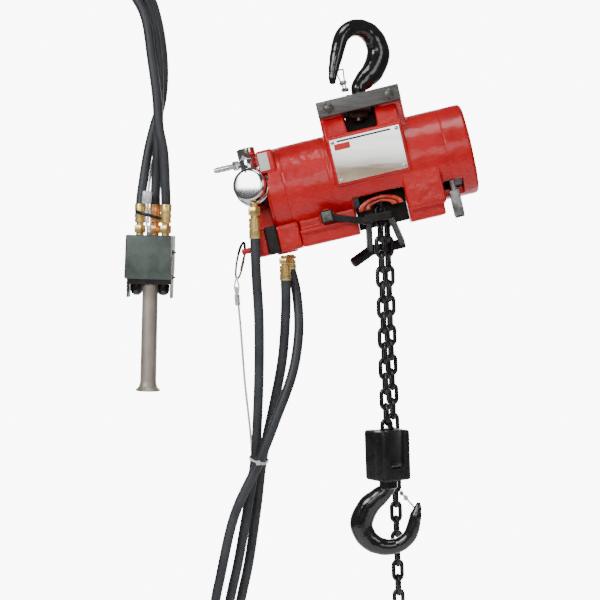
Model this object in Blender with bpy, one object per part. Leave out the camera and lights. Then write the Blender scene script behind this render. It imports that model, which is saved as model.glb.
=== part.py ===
"""Air-powered chain hoist on a swivel hook, with its pull-type hose pendant.

Metres, +Z up, with the top hook's saddle at the origin.
"""
import math

import bmesh
import bpy
from mathutils import Euler, Vector

# Driving dimensions
GAP = 0.0003
TILT = math.radians(-11.3)
BAR_CENTRE = Vector((0.0, 0.0, -0.088))
AXIS_Z = -0.088
BODY_R = 0.058
BORE_R = 0.050
MOTOR_X = (-0.114, -0.0573)
CENTRE_X = (-0.057, 0.093)
COVER_X = (-0.139, -0.1143)
GEAR_X = (0.0933, 0.1255)
LUG_HALF = 0.0535
LUG_DEPTH = 0.033
BAR_SIZE = (0.107, 0.010, 0.020)
BOLT_X = 0.039
FOOT_TOP, FOOT_BOTTOM = -0.1445, -0.164
FOOT_DEPTH = 0.046
OPENING_X = (-0.035, 0.031)
OPENING_TOP = -0.118
WHEEL_X = 0.009
WHEEL_R = 0.031
STRAND_DROP = 0.022
LOAD_SHIFT, SLACK_SHIFT = 0.003, 0.006
SHAFT_R = 0.015
ROTOR_SHAFT_R = 0.005
SUN_R, PLANET_R, RING_R = 0.0084, 0.0168, 0.042
PLANET_ORBIT = SUN_R + PLANET_R
TOOTH = 0.0012
CHAIN_PITCH = 0.0195
CHAIN_WIRE = 0.0056
CHAIN_WIDTH = 0.0175
LINK_SIDES = 4
LOAD_LINKS, SLACK_LINKS, WRAP_LINKS = 17, 29, 5
BLOCK_TOP, BLOCK_BOTTOM = -0.507, -0.571
BLOCK_YAW = math.radians(35)
BLOCK_HALF = 0.0215
HOOK_BOWL_R = 0.022
TOP_HOOK_YAW = math.radians(40)
BOTTOM_BOWL_Z = -0.626
HOOK_FLATNESS = 0.72
VALVE_CENTRE = Vector((-0.149, -0.020, -0.078))
VALVE_R = 0.0255
VALVE_LENGTH = 0.033
VALVE_FRONT = 0.0215
VALVE_TURN = Euler((math.radians(-10), 0.0, math.radians(-15)))
TOWER_PLACE = (-0.155, -0.018)
LEVER_PIVOT = Vector((-0.071, -0.056, -0.133))
PILOT_PLACE = (-0.131, -0.022)
EYE_PLACE = (-0.183, -0.029)
PENDANT_TOP = Vector((-0.2755, 0.0, -0.248))
PENDANT_LEAN = math.radians(3.4)
COVER_SIZE = (0.058, 0.042, 0.057)
BUTTON_PLACES = ((-0.0185, 0.006), (0.0165, 0.006))
BUTTON_R = 0.0071
HANDLE_PLACE = (0.001, -0.005)
FITTING_PLACES = ((-0.015, 0.0), (0.0035, 0.009), (0.019, -0.003))
HANDLE_R = 0.0105
HANDLE_END = -0.203
HOSE_D = 0.0127
WIRE_D = 0.003
EDGE = 0.003
FOOT_END = 0.0765
LUG_NOTCH = ((0.080, -0.07, -0.150), (0.106, -0.020, -0.124))
BOLT_HOLE_R = 0.0043
TRUNNION_R = 0.007
SHANK_R, SHANK_BORE_R = 0.008, 0.0085
PLANET_PIN_R = 0.004
GEAR_FACES = (0.0955, 0.105)
LEVER_SHAFT_R = 0.005
SNAP_LONG, SNAP_WIDE = 0.0235, 0.0060
PORT_FITTINGS = (
    ("valve_outlet_fitting", (-0.1355, -0.056), -0.2125, -0.2537),
    ("pilot_fitting_up", (-0.1003, -0.030), -0.280, -0.3082),
    ("pilot_fitting_down", (-0.0941, -0.013), -0.279, -0.2942))


def clear_scene():
    for old in list(bpy.data.objects):
        bpy.data.objects.remove(old)


def material(name, colour, roughness, metallic=0.0):
    made = bpy.data.materials.new(name)
    made.use_nodes = True
    shader = made.node_tree.nodes["Principled BSDF"]
    shader.inputs["Base Color"].default_value = (*colour, 1.0)
    shader.inputs["Roughness"].default_value = roughness
    shader.inputs["Metallic"].default_value = metallic
    return made


def red_paint():
    return material("red_paint", (0.72, 0.02, 0.015), 0.3)


def forged_black():
    return material("forged_black", (0.012, 0.012, 0.013), 0.3, 0.4)


def dark_steel():
    return material("dark_steel", (0.09, 0.09, 0.085), 0.45, 0.7)


def bright_steel():
    return material("bright_steel", (0.6, 0.6, 0.6), 0.2, 1.0)


def brass():
    return material("brass", (0.75, 0.5, 0.18), 0.3, 1.0)


def rubber():
    return material("hose_rubber", (0.02, 0.021, 0.022), 0.6)


def grey_paint():
    return material("grey_green_paint", (0.13, 0.16, 0.15), 0.45, 0.2)


def white_plastic():
    return material("white_plastic", (0.85, 0.85, 0.83), 0.5)


def finish(name, mesh_data, surface, parent=None, origin=(0, 0, 0)):
    """Makes the mesh a smooth-shaded object whose origin is at the given point of its parent's frame."""
    origin = Vector(origin)
    bmesh.ops.translate(mesh_data, vec=-origin, verts=mesh_data.verts)
    bmesh.ops.recalc_face_normals(mesh_data, faces=mesh_data.faces)
    mesh = bpy.data.meshes.new(name)
    mesh_data.to_mesh(mesh)
    mesh_data.free()
    mesh.shade_smooth()
    mesh.set_sharp_from_angle(angle=math.radians(35))
    mesh.materials.append(surface)
    made = bpy.data.objects.new(name, mesh)
    bpy.context.scene.collection.objects.link(made)
    made.location = origin
    made.parent = parent
    return made


def empty(name, location, rotation=(0, 0, 0), parent=None):
    made = bpy.data.objects.new(name, None)
    bpy.context.scene.collection.objects.link(made)
    made.location = location
    made.rotation_euler = rotation
    made.parent = parent
    return made


def helper(made):
    """Marks an object as a cutter or an addition, which isn't a piece of its own."""
    made.hide_render = True
    made.display_type = "WIRE"
    return made


def combine(target, operation, others):
    for other in others:
        helper(other)
        step = target.modifiers.new(other.name, "BOOLEAN")
        step.operation = operation
        step.object = other
    return target


def cut(target, *others):
    return combine(target, "DIFFERENCE", others)


def join(target, *others):
    return combine(target, "UNION", others)


def box_mesh(low, high):
    built = bmesh.new()
    bmesh.ops.create_cube(built, size=1.0)
    size = [b - a for a, b in zip(low, high)]
    middle = [(a + b) / 2 for a, b in zip(low, high)]
    bmesh.ops.scale(built, vec=size, verts=built.verts)
    bmesh.ops.translate(built, vec=middle, verts=built.verts)
    return built


def box(name, low, high, surface=None, parent=None, origin=(0, 0, 0), bevel=0.0):
    made = finish(name, box_mesh(low, high), surface, parent, origin)
    if bevel:
        edge = made.modifiers.new("edges", "BEVEL")
        edge.width = bevel
        edge.segments = 1
    return made


def aim(built, start, direction):
    """Turns a shape built along +Z from the origin so that it runs along the direction from the start."""
    turn = Vector((0, 0, 1)).rotation_difference(Vector(direction)).to_matrix()
    bmesh.ops.rotate(built, cent=(0, 0, 0), matrix=turn, verts=built.verts)
    bmesh.ops.translate(built, vec=start, verts=built.verts)
    return built


def turned_mesh(profile, segments):
    """A closed outline of (distance along the axis, radius) points, turned about +Z."""
    built = bmesh.new()
    corners = [built.verts.new((radius, 0, along)) for along, radius in profile]
    edges = [built.edges.new((a, b)) for a, b in zip(corners, corners[1:] + corners[:1])]
    bmesh.ops.spin(built, geom=corners + edges, axis=(0, 0, 1), cent=(0, 0, 0),
                   steps=segments, angle=2 * math.pi, use_merge=True)
    bmesh.ops.remove_doubles(built, verts=built.verts, dist=1e-6)
    return built


def turned(name, profile, start, direction, surface=None, parent=None, origin=(0, 0, 0), segments=16):
    built = aim(turned_mesh(profile, segments), Vector(start), Vector(direction))
    return finish(name, built, surface, parent, origin)


def rod(name, start, end, radius, surface=None, parent=None, origin=(0, 0, 0), segments=16):
    start, end = Vector(start), Vector(end)
    outline = [(0, 0), ((end - start).length, 0), ((end - start).length, radius), (0, radius)]
    return turned(name, outline, start, end - start, surface, parent, origin, segments)


def ring(name, start, end, outer, inner, surface=None, parent=None, origin=(0, 0, 0), segments=16):
    start, end = Vector(start), Vector(end)
    length = (end - start).length
    outline = [(0, inner), (length, inner), (length, outer), (0, outer)]
    return turned(name, outline, start, end - start, surface, parent, origin, segments)


def prism(name, outline, low, high, surface=None, parent=None, origin=(0, 0, 0)):
    """Extrudes an outline of (y, z) points along X, from low to high."""
    built = bmesh.new()
    face = built.faces.new([built.verts.new((low, y, z)) for y, z in outline])
    grown = bmesh.ops.extrude_face_region(built, geom=[face])["geom"]
    moved = [item for item in grown if isinstance(item, bmesh.types.BMVert)]
    bmesh.ops.translate(built, vec=(high - low, 0, 0), verts=moved)
    return finish(name, built, surface, parent, origin)


def beam(name, start, end, width, height, surface=None, parent=None, origin=(0, 0, 0)):
    """A rectangular bar between two points."""
    length = (Vector(end) - Vector(start)).length
    built = box_mesh((-width / 2, -height / 2, 0), (width / 2, height / 2, length))
    return finish(name, aim(built, Vector(start), Vector(end) - Vector(start)), surface, parent, origin)


def smooth_route(route, spacing):
    """Evenly spaced points on the Catmull-Rom curve through the route's points."""
    knots = [Vector(point) for point in route]
    knots = [2 * knots[0] - knots[1]] + knots + [2 * knots[-1] - knots[-2]]
    fine = []
    for a, b, c, d in zip(knots, knots[1:], knots[2:], knots[3:]):
        for step in range(24):
            t = step / 24
            fine.append(0.5 * (2 * b + (c - a) * t + (2 * a - 5 * b + 4 * c - d) * t * t
                               + (3 * b - a - 3 * c + d) * t ** 3))
    fine.append(knots[-2])
    lengths = [0.0]
    for a, b in zip(fine, fine[1:]):
        lengths.append(lengths[-1] + (b - a).length)
    count = max(2, round(lengths[-1] / spacing) + 1)
    points = []
    for index in range(count):
        target = lengths[-1] * index / (count - 1)
        after = next(i for i, far in enumerate(lengths[1:] + [math.inf], 1) if far >= target - 1e-9)
        after = min(after, len(fine) - 1)
        share = (target - lengths[after - 1]) / (lengths[after] - lengths[after - 1])
        points.append(fine[after - 1].lerp(fine[after], min(1.0, share)))
    return points


def tube(name, points, radii, surface=None, parent=None, origin=(0, 0, 0), resolution=2):
    """A round tube with filled caps through the points, with one radius or one for each point."""
    origin = Vector(origin)
    if not isinstance(radii, (list, tuple)):
        radii = [radii] * len(points)
    curve = bpy.data.curves.new(name, "CURVE")
    curve.dimensions = "3D"
    curve.bevel_depth = 1.0
    curve.bevel_resolution = resolution
    curve.use_fill_caps = True
    spline = curve.splines.new("POLY")
    spline.points.add(len(points) - 1)
    for knot, point, radius in zip(spline.points, points, radii):
        knot.co = (*(Vector(point) - origin), 1.0)
        knot.radius = radius
    curve.materials.append(surface)
    made = bpy.data.objects.new(name, curve)
    bpy.context.scene.collection.objects.link(made)
    made.location = origin
    made.parent = parent
    return made


# Hoist body

def axis_point(x):
    return Vector((x, 0.0, AXIS_Z))


def motor_clearance(name, body, reach=0.2):
    return rod(name, axis_point(-reach), axis_point(reach), BODY_R + GAP, parent=body, segments=32)


def centre_housing(body):
    left, right = CENTRE_X
    wall, bore = 0.008, SHAFT_R - 0.001
    span = right - left
    profile = [(0, bore), (wall, bore), (wall, BORE_R), (span, BORE_R), (span, BODY_R), (0, BODY_R)]
    housing = turned("centre_housing", profile, axis_point(left), (1, 0, 0), red_paint(), body,
                     segments=32)
    slope = [(-0.058, -0.070), (-0.058, -0.044), (-LUG_DEPTH, -0.0125), (-LUG_DEPTH, 0.008),
             (LUG_DEPTH, 0.008), (LUG_DEPTH, -0.0125), (0.058, -0.044), (0.058, -0.070)]
    lug = prism("lug_block", slope, -LUG_HALF, LUG_HALF, parent=body)
    pad = box("nameplate_pad", (-0.050, -0.060, -0.106), (0.045, -0.030, -0.041), parent=body)
    foot = box("right_foot_block", (OPENING_X[1], -FOOT_DEPTH, FOOT_BOTTOM),
               (FOOT_END, FOOT_DEPTH, FOOT_TOP + 0.012), parent=body)
    bore_cut = rod("housing_bore", axis_point(left + wall), axis_point(right + 0.01), BORE_R,
                   parent=body, segments=32)
    pocket = box("hook_pocket", (-0.021, -0.07, -0.029), (0.022, 0.07, 0.02), parent=body, bevel=0.003)
    opening = box("chain_opening", (OPENING_X[0], -0.07, -0.17), (OPENING_X[1], 0.07, OPENING_TOP),
                  parent=body)
    notch = box("right_notch", *LUG_NOTCH, parent=body)
    bolts = [rod(f"ear_hole_{side}", (side * BOLT_X, -0.05, 0), (side * BOLT_X, 0.05, 0), BOLT_HOLE_R,
                 parent=body, segments=12) for side in (-1, 1)]
    return cut(join(housing, lug, pad, foot), bore_cut, pocket, opening, notch, *bolts)


def motor_housing(body):
    left, right = MOTOR_X
    wall, bore, inner = 0.008, 0.014, BORE_R - 0.004
    span = right - left
    profile = [(0, inner), (span - wall, inner), (span - wall, bore), (span, bore), (span, BODY_R),
               (0, BODY_R)]
    return turned("motor_housing", profile, axis_point(left), (1, 0, 0), red_paint(), body,
                  segments=32)


def motor_end_cover(body):
    """The motor's closed end, with a pocket in its front where the inlet valve is let in."""
    left, right = COVER_X
    span, bore, depth = right - left, 0.009, 0.007
    profile = [(0, 0), (0, BODY_R - EDGE), (EDGE, BODY_R), (span, BODY_R), (span, bore),
               (span - depth, bore), (span - depth, 0)]
    cover = turned("motor_end_cover", profile, axis_point(left), (1, 0, 0), red_paint(), body,
                   segments=32)
    return cut(cover, valve_socket("cover_valve_pocket", body, forward=0.02))


def gear_case(body):
    left, right = GEAR_X
    span, wall = right - left, 0.009
    profile = [(0, BORE_R), (0, BODY_R), (span - EDGE, BODY_R), (span, BODY_R - EDGE), (span, 0),
               (span - wall, 0), (span - wall, BORE_R)]
    case = turned("gear_case", profile, axis_point(left), (1, 0, 0), red_paint(), body, segments=32)
    return cut(case, box("case_notch", *LUG_NOTCH, parent=body))


def valve_chest(body):
    low, high = -0.109, OPENING_X[0]
    base = box("valve_chest", (low, -FOOT_DEPTH, FOOT_BOTTOM), (high, FOOT_DEPTH, FOOT_TOP),
               red_paint(), body)
    shoulder = box("chest_shoulder", (low, -0.040, FOOT_TOP - 0.002), (high, 0.040, -0.125),
                   parent=body)
    behind = Vector((0, 1, 0))
    boss = rod("lever_boss", LEVER_PIVOT + behind * 0.034, LEVER_PIVOT + behind * 0.0052, 0.009,
               parent=body, segments=12)
    bore = rod("lever_bore", LEVER_PIVOT - behind * 0.01, LEVER_PIVOT + behind * 0.0135,
               LEVER_SHAFT_R + GAP, parent=body, segments=12)
    return cut(join(base, shoulder, boss), motor_clearance("chest_seat", body), bore)


def inlet_manifold(body):
    base = box("inlet_manifold", (-0.169, -FOOT_DEPTH, FOOT_BOTTOM), (-0.1093, 0.030, -0.130),
               red_paint(), body, bevel=0.002)
    neck = box("manifold_neck", (-0.166, -0.006, -0.135), (COVER_X[0], 0.026, -0.070), parent=body)
    boss = rod("pilot_boss", (*PILOT_PLACE, FOOT_BOTTOM + 0.003), (*PILOT_PLACE, FOOT_BOTTOM - 0.0025),
               0.013, parent=body, segments=16)
    tab = box("eye_tab", (-0.1884, -0.036, -0.1555), (-0.165, -0.022, -0.1485), parent=body)
    eye = rod("tab_eye", (*EYE_PLACE, -0.17), (*EYE_PLACE, -0.13), 0.0042, parent=body, segments=10)
    slot = box("outlet_slot", (-0.153, -0.06, -0.17), (-0.138, -0.030, -0.128), parent=body)
    seat = rod("cover_seat", axis_point(COVER_X[0] - GAP), axis_point(-0.05), BODY_R + GAP,
               parent=body, segments=32)
    return cut(join(base, neck, boss, tab), eye, slot, seat, valve_socket("manifold_socket", body))


def hanger_lug(body):
    """The steel lug that hangs by its stem in the notch at the gear case's foot."""
    lug = box("hanger_lug", (0.0855, -0.047, -0.172), (0.0985, -0.036, -0.137), dark_steel(), body,
              bevel=0.001)
    stem = rod("lug_stem", (0.092, -0.041, -0.140), (0.092, -0.041, LUG_NOTCH[1][2] - GAP), 0.0035,
               parent=body, segments=10)
    return join(lug, stem)


def nameplate(body):
    return box("nameplate", (-0.047, -0.0618, -0.097), (0.042, -0.0603, -0.042), bright_steel(), body)


def chain_guide(body):
    """An arched hood over the chain's way out, held inside the front of the housing."""
    def arch(name, inner, outer, y_low, y_high, surface=None):
        centre = Vector((-0.002, y_low, -0.1455))
        behind = centre + Vector((0, y_high - y_low, 0))
        hood = ring(name, centre, behind, outer, inner, surface, body, segments=24)
        below = box(name + "_foot", (-0.05, -0.08, -0.20), (0.05, 0.08, -0.1405), parent=body)
        return cut(hood, below)
    front = arch("chain_guide", 0.0205, 0.0255, -0.0495, -0.0425, red_paint())
    rear = arch("guide_throat", 0.0225, 0.0268, -0.0440, -0.0400)
    return join(front, rear)


# Suspension

def suspension_bar(side, body):
    length, depth, height = BAR_SIZE
    near = side * (LUG_DEPTH + GAP)
    far = near + side * depth
    low, high = min(near, far), max(near, far)
    name = "suspension_bar_front" if side < 0 else "suspension_bar_rear"
    bar = box(name, (-length / 2, low, -height / 2), (length / 2, high, height / 2), dark_steel(),
              body, bevel=0.001)
    holes = [rod(f"{name}_hole_{end}", (end * BOLT_X, -0.06, 0), (end * BOLT_X, 0.06, 0), BOLT_HOLE_R,
                 parent=body, segments=12) for end in (-1, 1)]
    socket = rod(name + "_socket", (0, near - side * 0.002, 0), (0, near + side * 0.006, 0),
                 TRUNNION_R + GAP, parent=body)
    return cut(bar, socket, *holes)


def bar_bolt(name, x, body):
    face = LUG_DEPTH + BAR_SIZE[1] + 2 * GAP
    head, thick, shank = 0.0062, 0.005, BOLT_HOLE_R - GAP
    far = thick + 2 * face
    profile = [(0, 0), (0, head), (thick, head), (thick, shank), (far, shank), (far, head),
               (far + thick, head), (far + thick, 0)]
    return turned(name, profile, (x, -face - thick, 0), (0, 1, 0), dark_steel(), body, segments=12)


def hook_trunnion(hang):
    """The cross-head that rocks between the bars and carries the hook's shank."""
    reach = LUG_DEPTH - 0.001
    block = box("hook_trunnion", (-0.015, -reach, -0.0095), (0.015, reach, 0.0095), dark_steel(), hang)
    pins = [rod(f"trunnion_pin_{side}", (0, 0, 0), (0, side * (reach + 0.0062), 0), TRUNNION_R,
                parent=hang) for side in (-1, 1)]
    bore = rod("trunnion_bore", (0, 0, -0.03), (0, 0, 0.03), SHANK_BORE_R, parent=hang)
    return cut(join(block, *pins), bore)


def hook_curve(tip):
    """Centreline and half-widths of a forged hook, upright, from shank to tip, about its bowl."""
    line = [((0, 0.062), SHANK_R), ((0, 0.053), SHANK_R), ((-0.002, 0.043), 0.0098),
            ((-0.013, 0.033), 0.0122), ((-0.0265, 0.021), 0.014), ((-0.036, 0.001), 0.0148)]
    bowl = ((205, 0.0135), (228, 0.012), (250, 0.0105), (272, 0.0097), (295, 0.009), (320, 0.0087),
            (342, 0.0085))
    for degrees, half in bowl:
        turn = math.radians(degrees)
        reach = HOOK_BOWL_R + half
        line.append(((reach * math.cos(turn), reach * math.sin(turn)), half))
    return line + tip


def hook(name, tip, shank_length, surface, parent):
    line = hook_curve(tip)
    line.insert(0, ((0, 0.062 + shank_length), SHANK_R))
    centres = [(a, 0, b) for (a, b), _ in line]
    made = tube(name, centres, [half for _, half in line], surface, parent, resolution=3)
    made.scale = (1, HOOK_FLATNESS, 1)
    return made


def top_hook(swivel):
    turned_over = empty("top_hook_turn", (0, 0, 0), (0, math.pi, 0), swivel)
    tip = [((0.034, 0.005), 0.0078), ((0.0385, 0.020), 0.006), ((0.0415, 0.034), 0.0045),
           ((0.042, 0.041), 0.003)]
    return hook("top_hook", tip, 0.026, forged_black(), turned_over)


def latch(name, base, reach, lean, surface, parent):
    """A pressed latch: a strap that runs from its pivot by the shank to the inside of the tip."""
    base = Vector(base)
    far = base + Vector((reach * math.sin(lean), 0, reach * math.cos(lean)))
    strap = beam(name, base, far, 0.0016, 0.011, surface, parent, base)
    barrel = rod(name + "_barrel", base - Vector((0, 0.0065, 0)), base + Vector((0, 0.0065, 0)), 0.0032,
                 parent=parent, segments=12)
    return join(strap, barrel)


def hook_nut(name, top, height, parent, radius=0.013):
    nut = rod(name, (0, 0, top - height), (0, 0, top), radius, dark_steel(), parent, segments=6)
    thread = rod(name + "_thread", (0, 0, top - 0.02), (0, 0, top + 0.01), SHANK_BORE_R, parent=parent)
    return cut(nut, thread)


# Air inlet

def valve_piece(name, profile, surface, body, start):
    direction = Vector((0, -1, 0))
    direction.rotate(VALVE_TURN)
    start = VALVE_CENTRE + direction * start
    return turned(name, profile, start, direction, surface, body, segments=24)


def valve_socket(name, body, forward=0.0):
    """The space that the inlet valve takes up, with its fitting gap."""
    radius, reach = VALVE_R + GAP, VALVE_LENGTH + 2 * GAP + forward
    profile = [(0, 0), (0, radius), (reach, radius), (reach, 0)]
    return valve_piece(name, profile, None, body, VALVE_FRONT - VALVE_LENGTH - GAP)


def inlet_valve(body):
    profile = [(0, 0), (0, VALVE_R), (VALVE_LENGTH, VALVE_R), (VALVE_LENGTH, 0)]
    valve_body = valve_piece("inlet_valve_body", profile, forged_black(), body,
                             VALVE_FRONT - VALVE_LENGTH)
    profile = [(0, 0), (0, 0.0245), (0.004, 0.0245), (0.006, 0.0215), (0.016, 0.0215),
               (0.018, 0.0195), (0.018, 0)]
    valve_cap = valve_piece("inlet_valve_cap", profile, bright_steel(), body, VALVE_FRONT + GAP)
    stem = rod("valve_stem", (*TOWER_PLACE, -0.066), (*TOWER_PLACE, -0.0505), 0.009, parent=body)
    return join(valve_body, stem), valve_cap


def inlet_swivel(pivot):
    tower = rod("inlet_swivel", (0, 0, 0), (0, 0, 0.027), 0.0117, bright_steel(), pivot, segments=24)
    socket = rod("nipple_socket", (-0.02, 0, 0.008), (-0.0095, 0, 0.008), 0.0037, parent=pivot)
    profile = [(0, 0), (0, 0.0034), (0.003, 0.0034), (0.003, 0.0058), (0.011, 0.0058),
               (0.011, 0.0032), (0.020, 0.0032), (0.020, 0.0042), (0.027, 0.0036), (0.027, 0.0024),
               (0.031, 0.0036), (0.036, 0.003), (0.036, 0)]
    nipple = turned("air_nipple", profile, (-0.0098, 0, 0.008), (-1, 0, 0), bright_steel(), pivot,
                    segments=12)
    return cut(tower, socket), nipple


def hose_fitting(name, top, bottom, surface, parent=None):
    """A brass hose end: a hexagon, a groove and a ferrule."""
    run = Vector(bottom) - Vector(top)
    thread, hexagon, ferrule = 0.0055, 0.0078, 0.0072
    collar, groove, sleeve = (run.length * share for share in (0.12, 0.40, 0.48))
    profile = [(0, 0), (0, thread), (collar, thread), (collar, hexagon), (groove, hexagon),
               (groove, thread), (sleeve, thread), (sleeve, ferrule), (run.length, ferrule),
               (run.length, 0)]
    return turned(name, profile, top, run, surface, parent, segments=12)


# Drive inside the housings

def gear_outline(radius, teeth, outward=1):
    """Alternating tip and root points of a stubbed gear, whose tips stop at the pitch circle."""
    points = []
    for index in range(2 * teeth):
        turn = math.pi * index / teeth
        reach = radius - outward * (0.0001 if index % 2 == 0 else TOOTH)
        points.append((reach * math.cos(turn), reach * math.sin(turn)))
    return points


def gear(name, outline, centre, low, high, surface=None, parent=None, origin=(0, 0, 0)):
    shifted = [(centre[0] + y, centre[1] + z) for y, z in outline]
    return prism(name, shifted, low, high, surface, parent, origin)


def drive(body):
    ring("motor_cylinder", axis_point(-0.112), axis_point(-0.068), BORE_R - 0.0043, 0.034,
         dark_steel(), body, segments=24)
    start, drum, spigot = axis_point(-0.120), 0.030, 0.003
    drum_start, drum_end, spigot_start, spigot_end = 0.011, 0.049, 0.211, 0.227
    profile = [(0, 0), (0, ROTOR_SHAFT_R), (drum_start, ROTOR_SHAFT_R), (drum_start, drum),
               (drum_end, drum), (drum_end, ROTOR_SHAFT_R), (spigot_start, ROTOR_SHAFT_R),
               (spigot_start, spigot), (spigot_end, spigot), (spigot_end, 0)]
    turned("motor_rotor", profile, start, (1, 0, 0), bright_steel(), body, start, segments=16)
    ring("brake_disc", axis_point(-0.047), axis_point(-0.043), 0.040, ROTOR_SHAFT_R + GAP,
         dark_steel(), body, axis_point(-0.045))
    bearings = (("load_wheel_bearing_left", -0.036), ("load_wheel_bearing_right", 0.046))
    for name, left in bearings:
        ring(name, axis_point(left), axis_point(left + 0.008), BORE_R - GAP, SHAFT_R + GAP,
             bright_steel(), body, segments=24)


def load_wheel(body):
    half, groove = 0.012, 0.0038
    flange, root = 0.0258, 0.0195
    left, length, bore = -0.042, 0.1275, 0.0056
    centre = WHEEL_X - left
    profile = [(0, bore), (0, SHAFT_R), (centre - half, SHAFT_R), (centre - half, flange),
               (centre - groove, flange), (centre - groove, root), (centre + groove, root),
               (centre + groove, flange), (centre + half, flange), (centre + half, SHAFT_R),
               (length, SHAFT_R), (length, bore)]
    wheel = turned("load_wheel", profile, axis_point(left), (1, 0, 0), dark_steel(), body,
                   axis_point(WHEEL_X), segments=20)
    carrier = ring("planet_carrier", axis_point(0.0850), axis_point(0.0925), 0.034, 0.0062,
                   parent=body, segments=20)
    pins = [rod(f"carrier_pin_{i}", (0.090, *planet_place(i)), (0.107, *planet_place(i)),
                PLANET_PIN_R, parent=body, segments=10) for i in range(3)]
    return join(wheel, carrier, *pins)


def planet_place(index):
    turn = math.radians(90 + 120 * index)
    return PLANET_ORBIT * math.cos(turn), AXIS_Z + PLANET_ORBIT * math.sin(turn)


def gears(body):
    for index in range(3):
        y, z = planet_place(index)
        planet = gear(f"planet_gear_{index + 1}", gear_outline(PLANET_R, 24), (y, z), *GEAR_FACES,
                      bright_steel(), body, (0.100, y, z))
        cut(planet, rod(f"planet_bore_{index}", (0.09, y, z), (0.11, y, z), PLANET_PIN_R + GAP,
                        parent=body, segments=10))
    sun = gear("sun_gear", gear_outline(SUN_R, 12), (0, AXIS_Z), *GEAR_FACES, bright_steel(), body,
               axis_point(0.100))
    cut(sun, rod("sun_bore", axis_point(0.09), axis_point(0.11), 0.0033, parent=body, segments=10))
    outer = rod("ring_gear", axis_point(0.0948), axis_point(0.1055), BORE_R - GAP, dark_steel(), body,
                segments=24)
    teeth = gear("ring_teeth", gear_outline(RING_R, 60, -1), (0, AXIS_Z), 0.09, 0.11, parent=body)
    cut(outer, teeth)


# Chain

def link_mesh(built, centre, along, across):
    """Adds one welded link, centred on a point, lying in the plane of its two directions."""
    reach = CHAIN_WIRE / 2
    cross_half = (CHAIN_WIDTH - CHAIN_WIRE) / 2
    straight = (CHAIN_PITCH + CHAIN_WIRE - 0.0006) / 2 - cross_half
    out = along.cross(across)
    path = []
    for end, first in ((1, 0), (-1, 180)):
        for degrees in (0, 60, 120, 180):
            turn = math.radians(first + degrees)
            path.append((cross_half * math.cos(turn), end * straight + cross_half * math.sin(turn)))
    rings = []
    for index, (a, b) in enumerate(path):
        before, after = path[index - 1], path[(index + 1) % len(path)]
        inward = Vector((before[1] - after[1], after[0] - before[0])).normalized()
        section = []
        for side in range(LINK_SIDES):
            turn = 2 * math.pi * side / LINK_SIDES
            shift = inward * reach * math.cos(turn)
            point = centre + across * (a + shift.x) + along * (b + shift.y)
            section.append(built.verts.new(point + out * reach * math.sin(turn)))
        rings.append(section)
    for first, second in zip(rings, rings[1:] + rings[:1]):
        for side in range(LINK_SIDES):
            after = (side + 1) % LINK_SIDES
            built.faces.new((first[side], first[after], second[after], second[side]))


def chain(name, places, surface, parent=None, origin=(0, 0, 0)):
    """Links at (centre, along, across) places, joined where each crown sits in the next."""
    halves = [bmesh.new(), bmesh.new()]
    for index, place in enumerate(places):
        link_mesh(halves[index % 2], *place)
    first = finish(name, halves[0], surface, parent, origin)
    second = finish(name + "_even_links", halves[1], surface, parent, origin)
    return join(first, second)


def hanging_places(top, count):
    down = Vector((0, 0, -1))
    ways = (Vector((1, 0, 0)), Vector((0, 1, 0)))
    return [(top + down * CHAIN_PITCH * index, down, ways[index % 2]) for index in range(count)]


def wrap_places():
    step = 2 * math.asin(CHAIN_PITCH / 2 / WHEEL_R)
    places = []
    for index in range(WRAP_LINKS):
        turn = math.pi / 2 + step * (index - (WRAP_LINKS - 1) / 2)
        out = Vector((0, math.cos(turn), math.sin(turn)))
        along = Vector((0, -math.sin(turn), math.cos(turn)))
        across = out if index % 2 else Vector((1, 0, 0))
        places.append((axis_point(WHEEL_X) + out * WHEEL_R * math.cos(step / 2), along, across))
    return places


def chains(body):
    chain("wheel_chain", wrap_places(), forged_black(), body, axis_point(WHEEL_X))
    turn = Euler((0, TILT, 0)).to_matrix()
    wheel = BAR_CENTRE + turn @ axis_point(WHEEL_X)
    load_top = wheel + Vector((-LOAD_SHIFT, -WHEEL_R, -STRAND_DROP))
    chain("load_chain", hanging_places(load_top, LOAD_LINKS), forged_black(), None, load_top)
    slack_top = wheel + Vector((SLACK_SHIFT, WHEEL_R, -STRAND_DROP))
    chain("slack_chain", hanging_places(slack_top, SLACK_LINKS), forged_black(), None, slack_top)
    stop_top = slack_top - Vector((0, 0, CHAIN_PITCH * (SLACK_LINKS - 0.5) + 0.005))
    rod("chain_end_stop", stop_top - Vector((0, 0, 0.026)), stop_top, 0.015, dark_steel(), None, stop_top)
    return load_top


# Hook block and hooks

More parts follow.
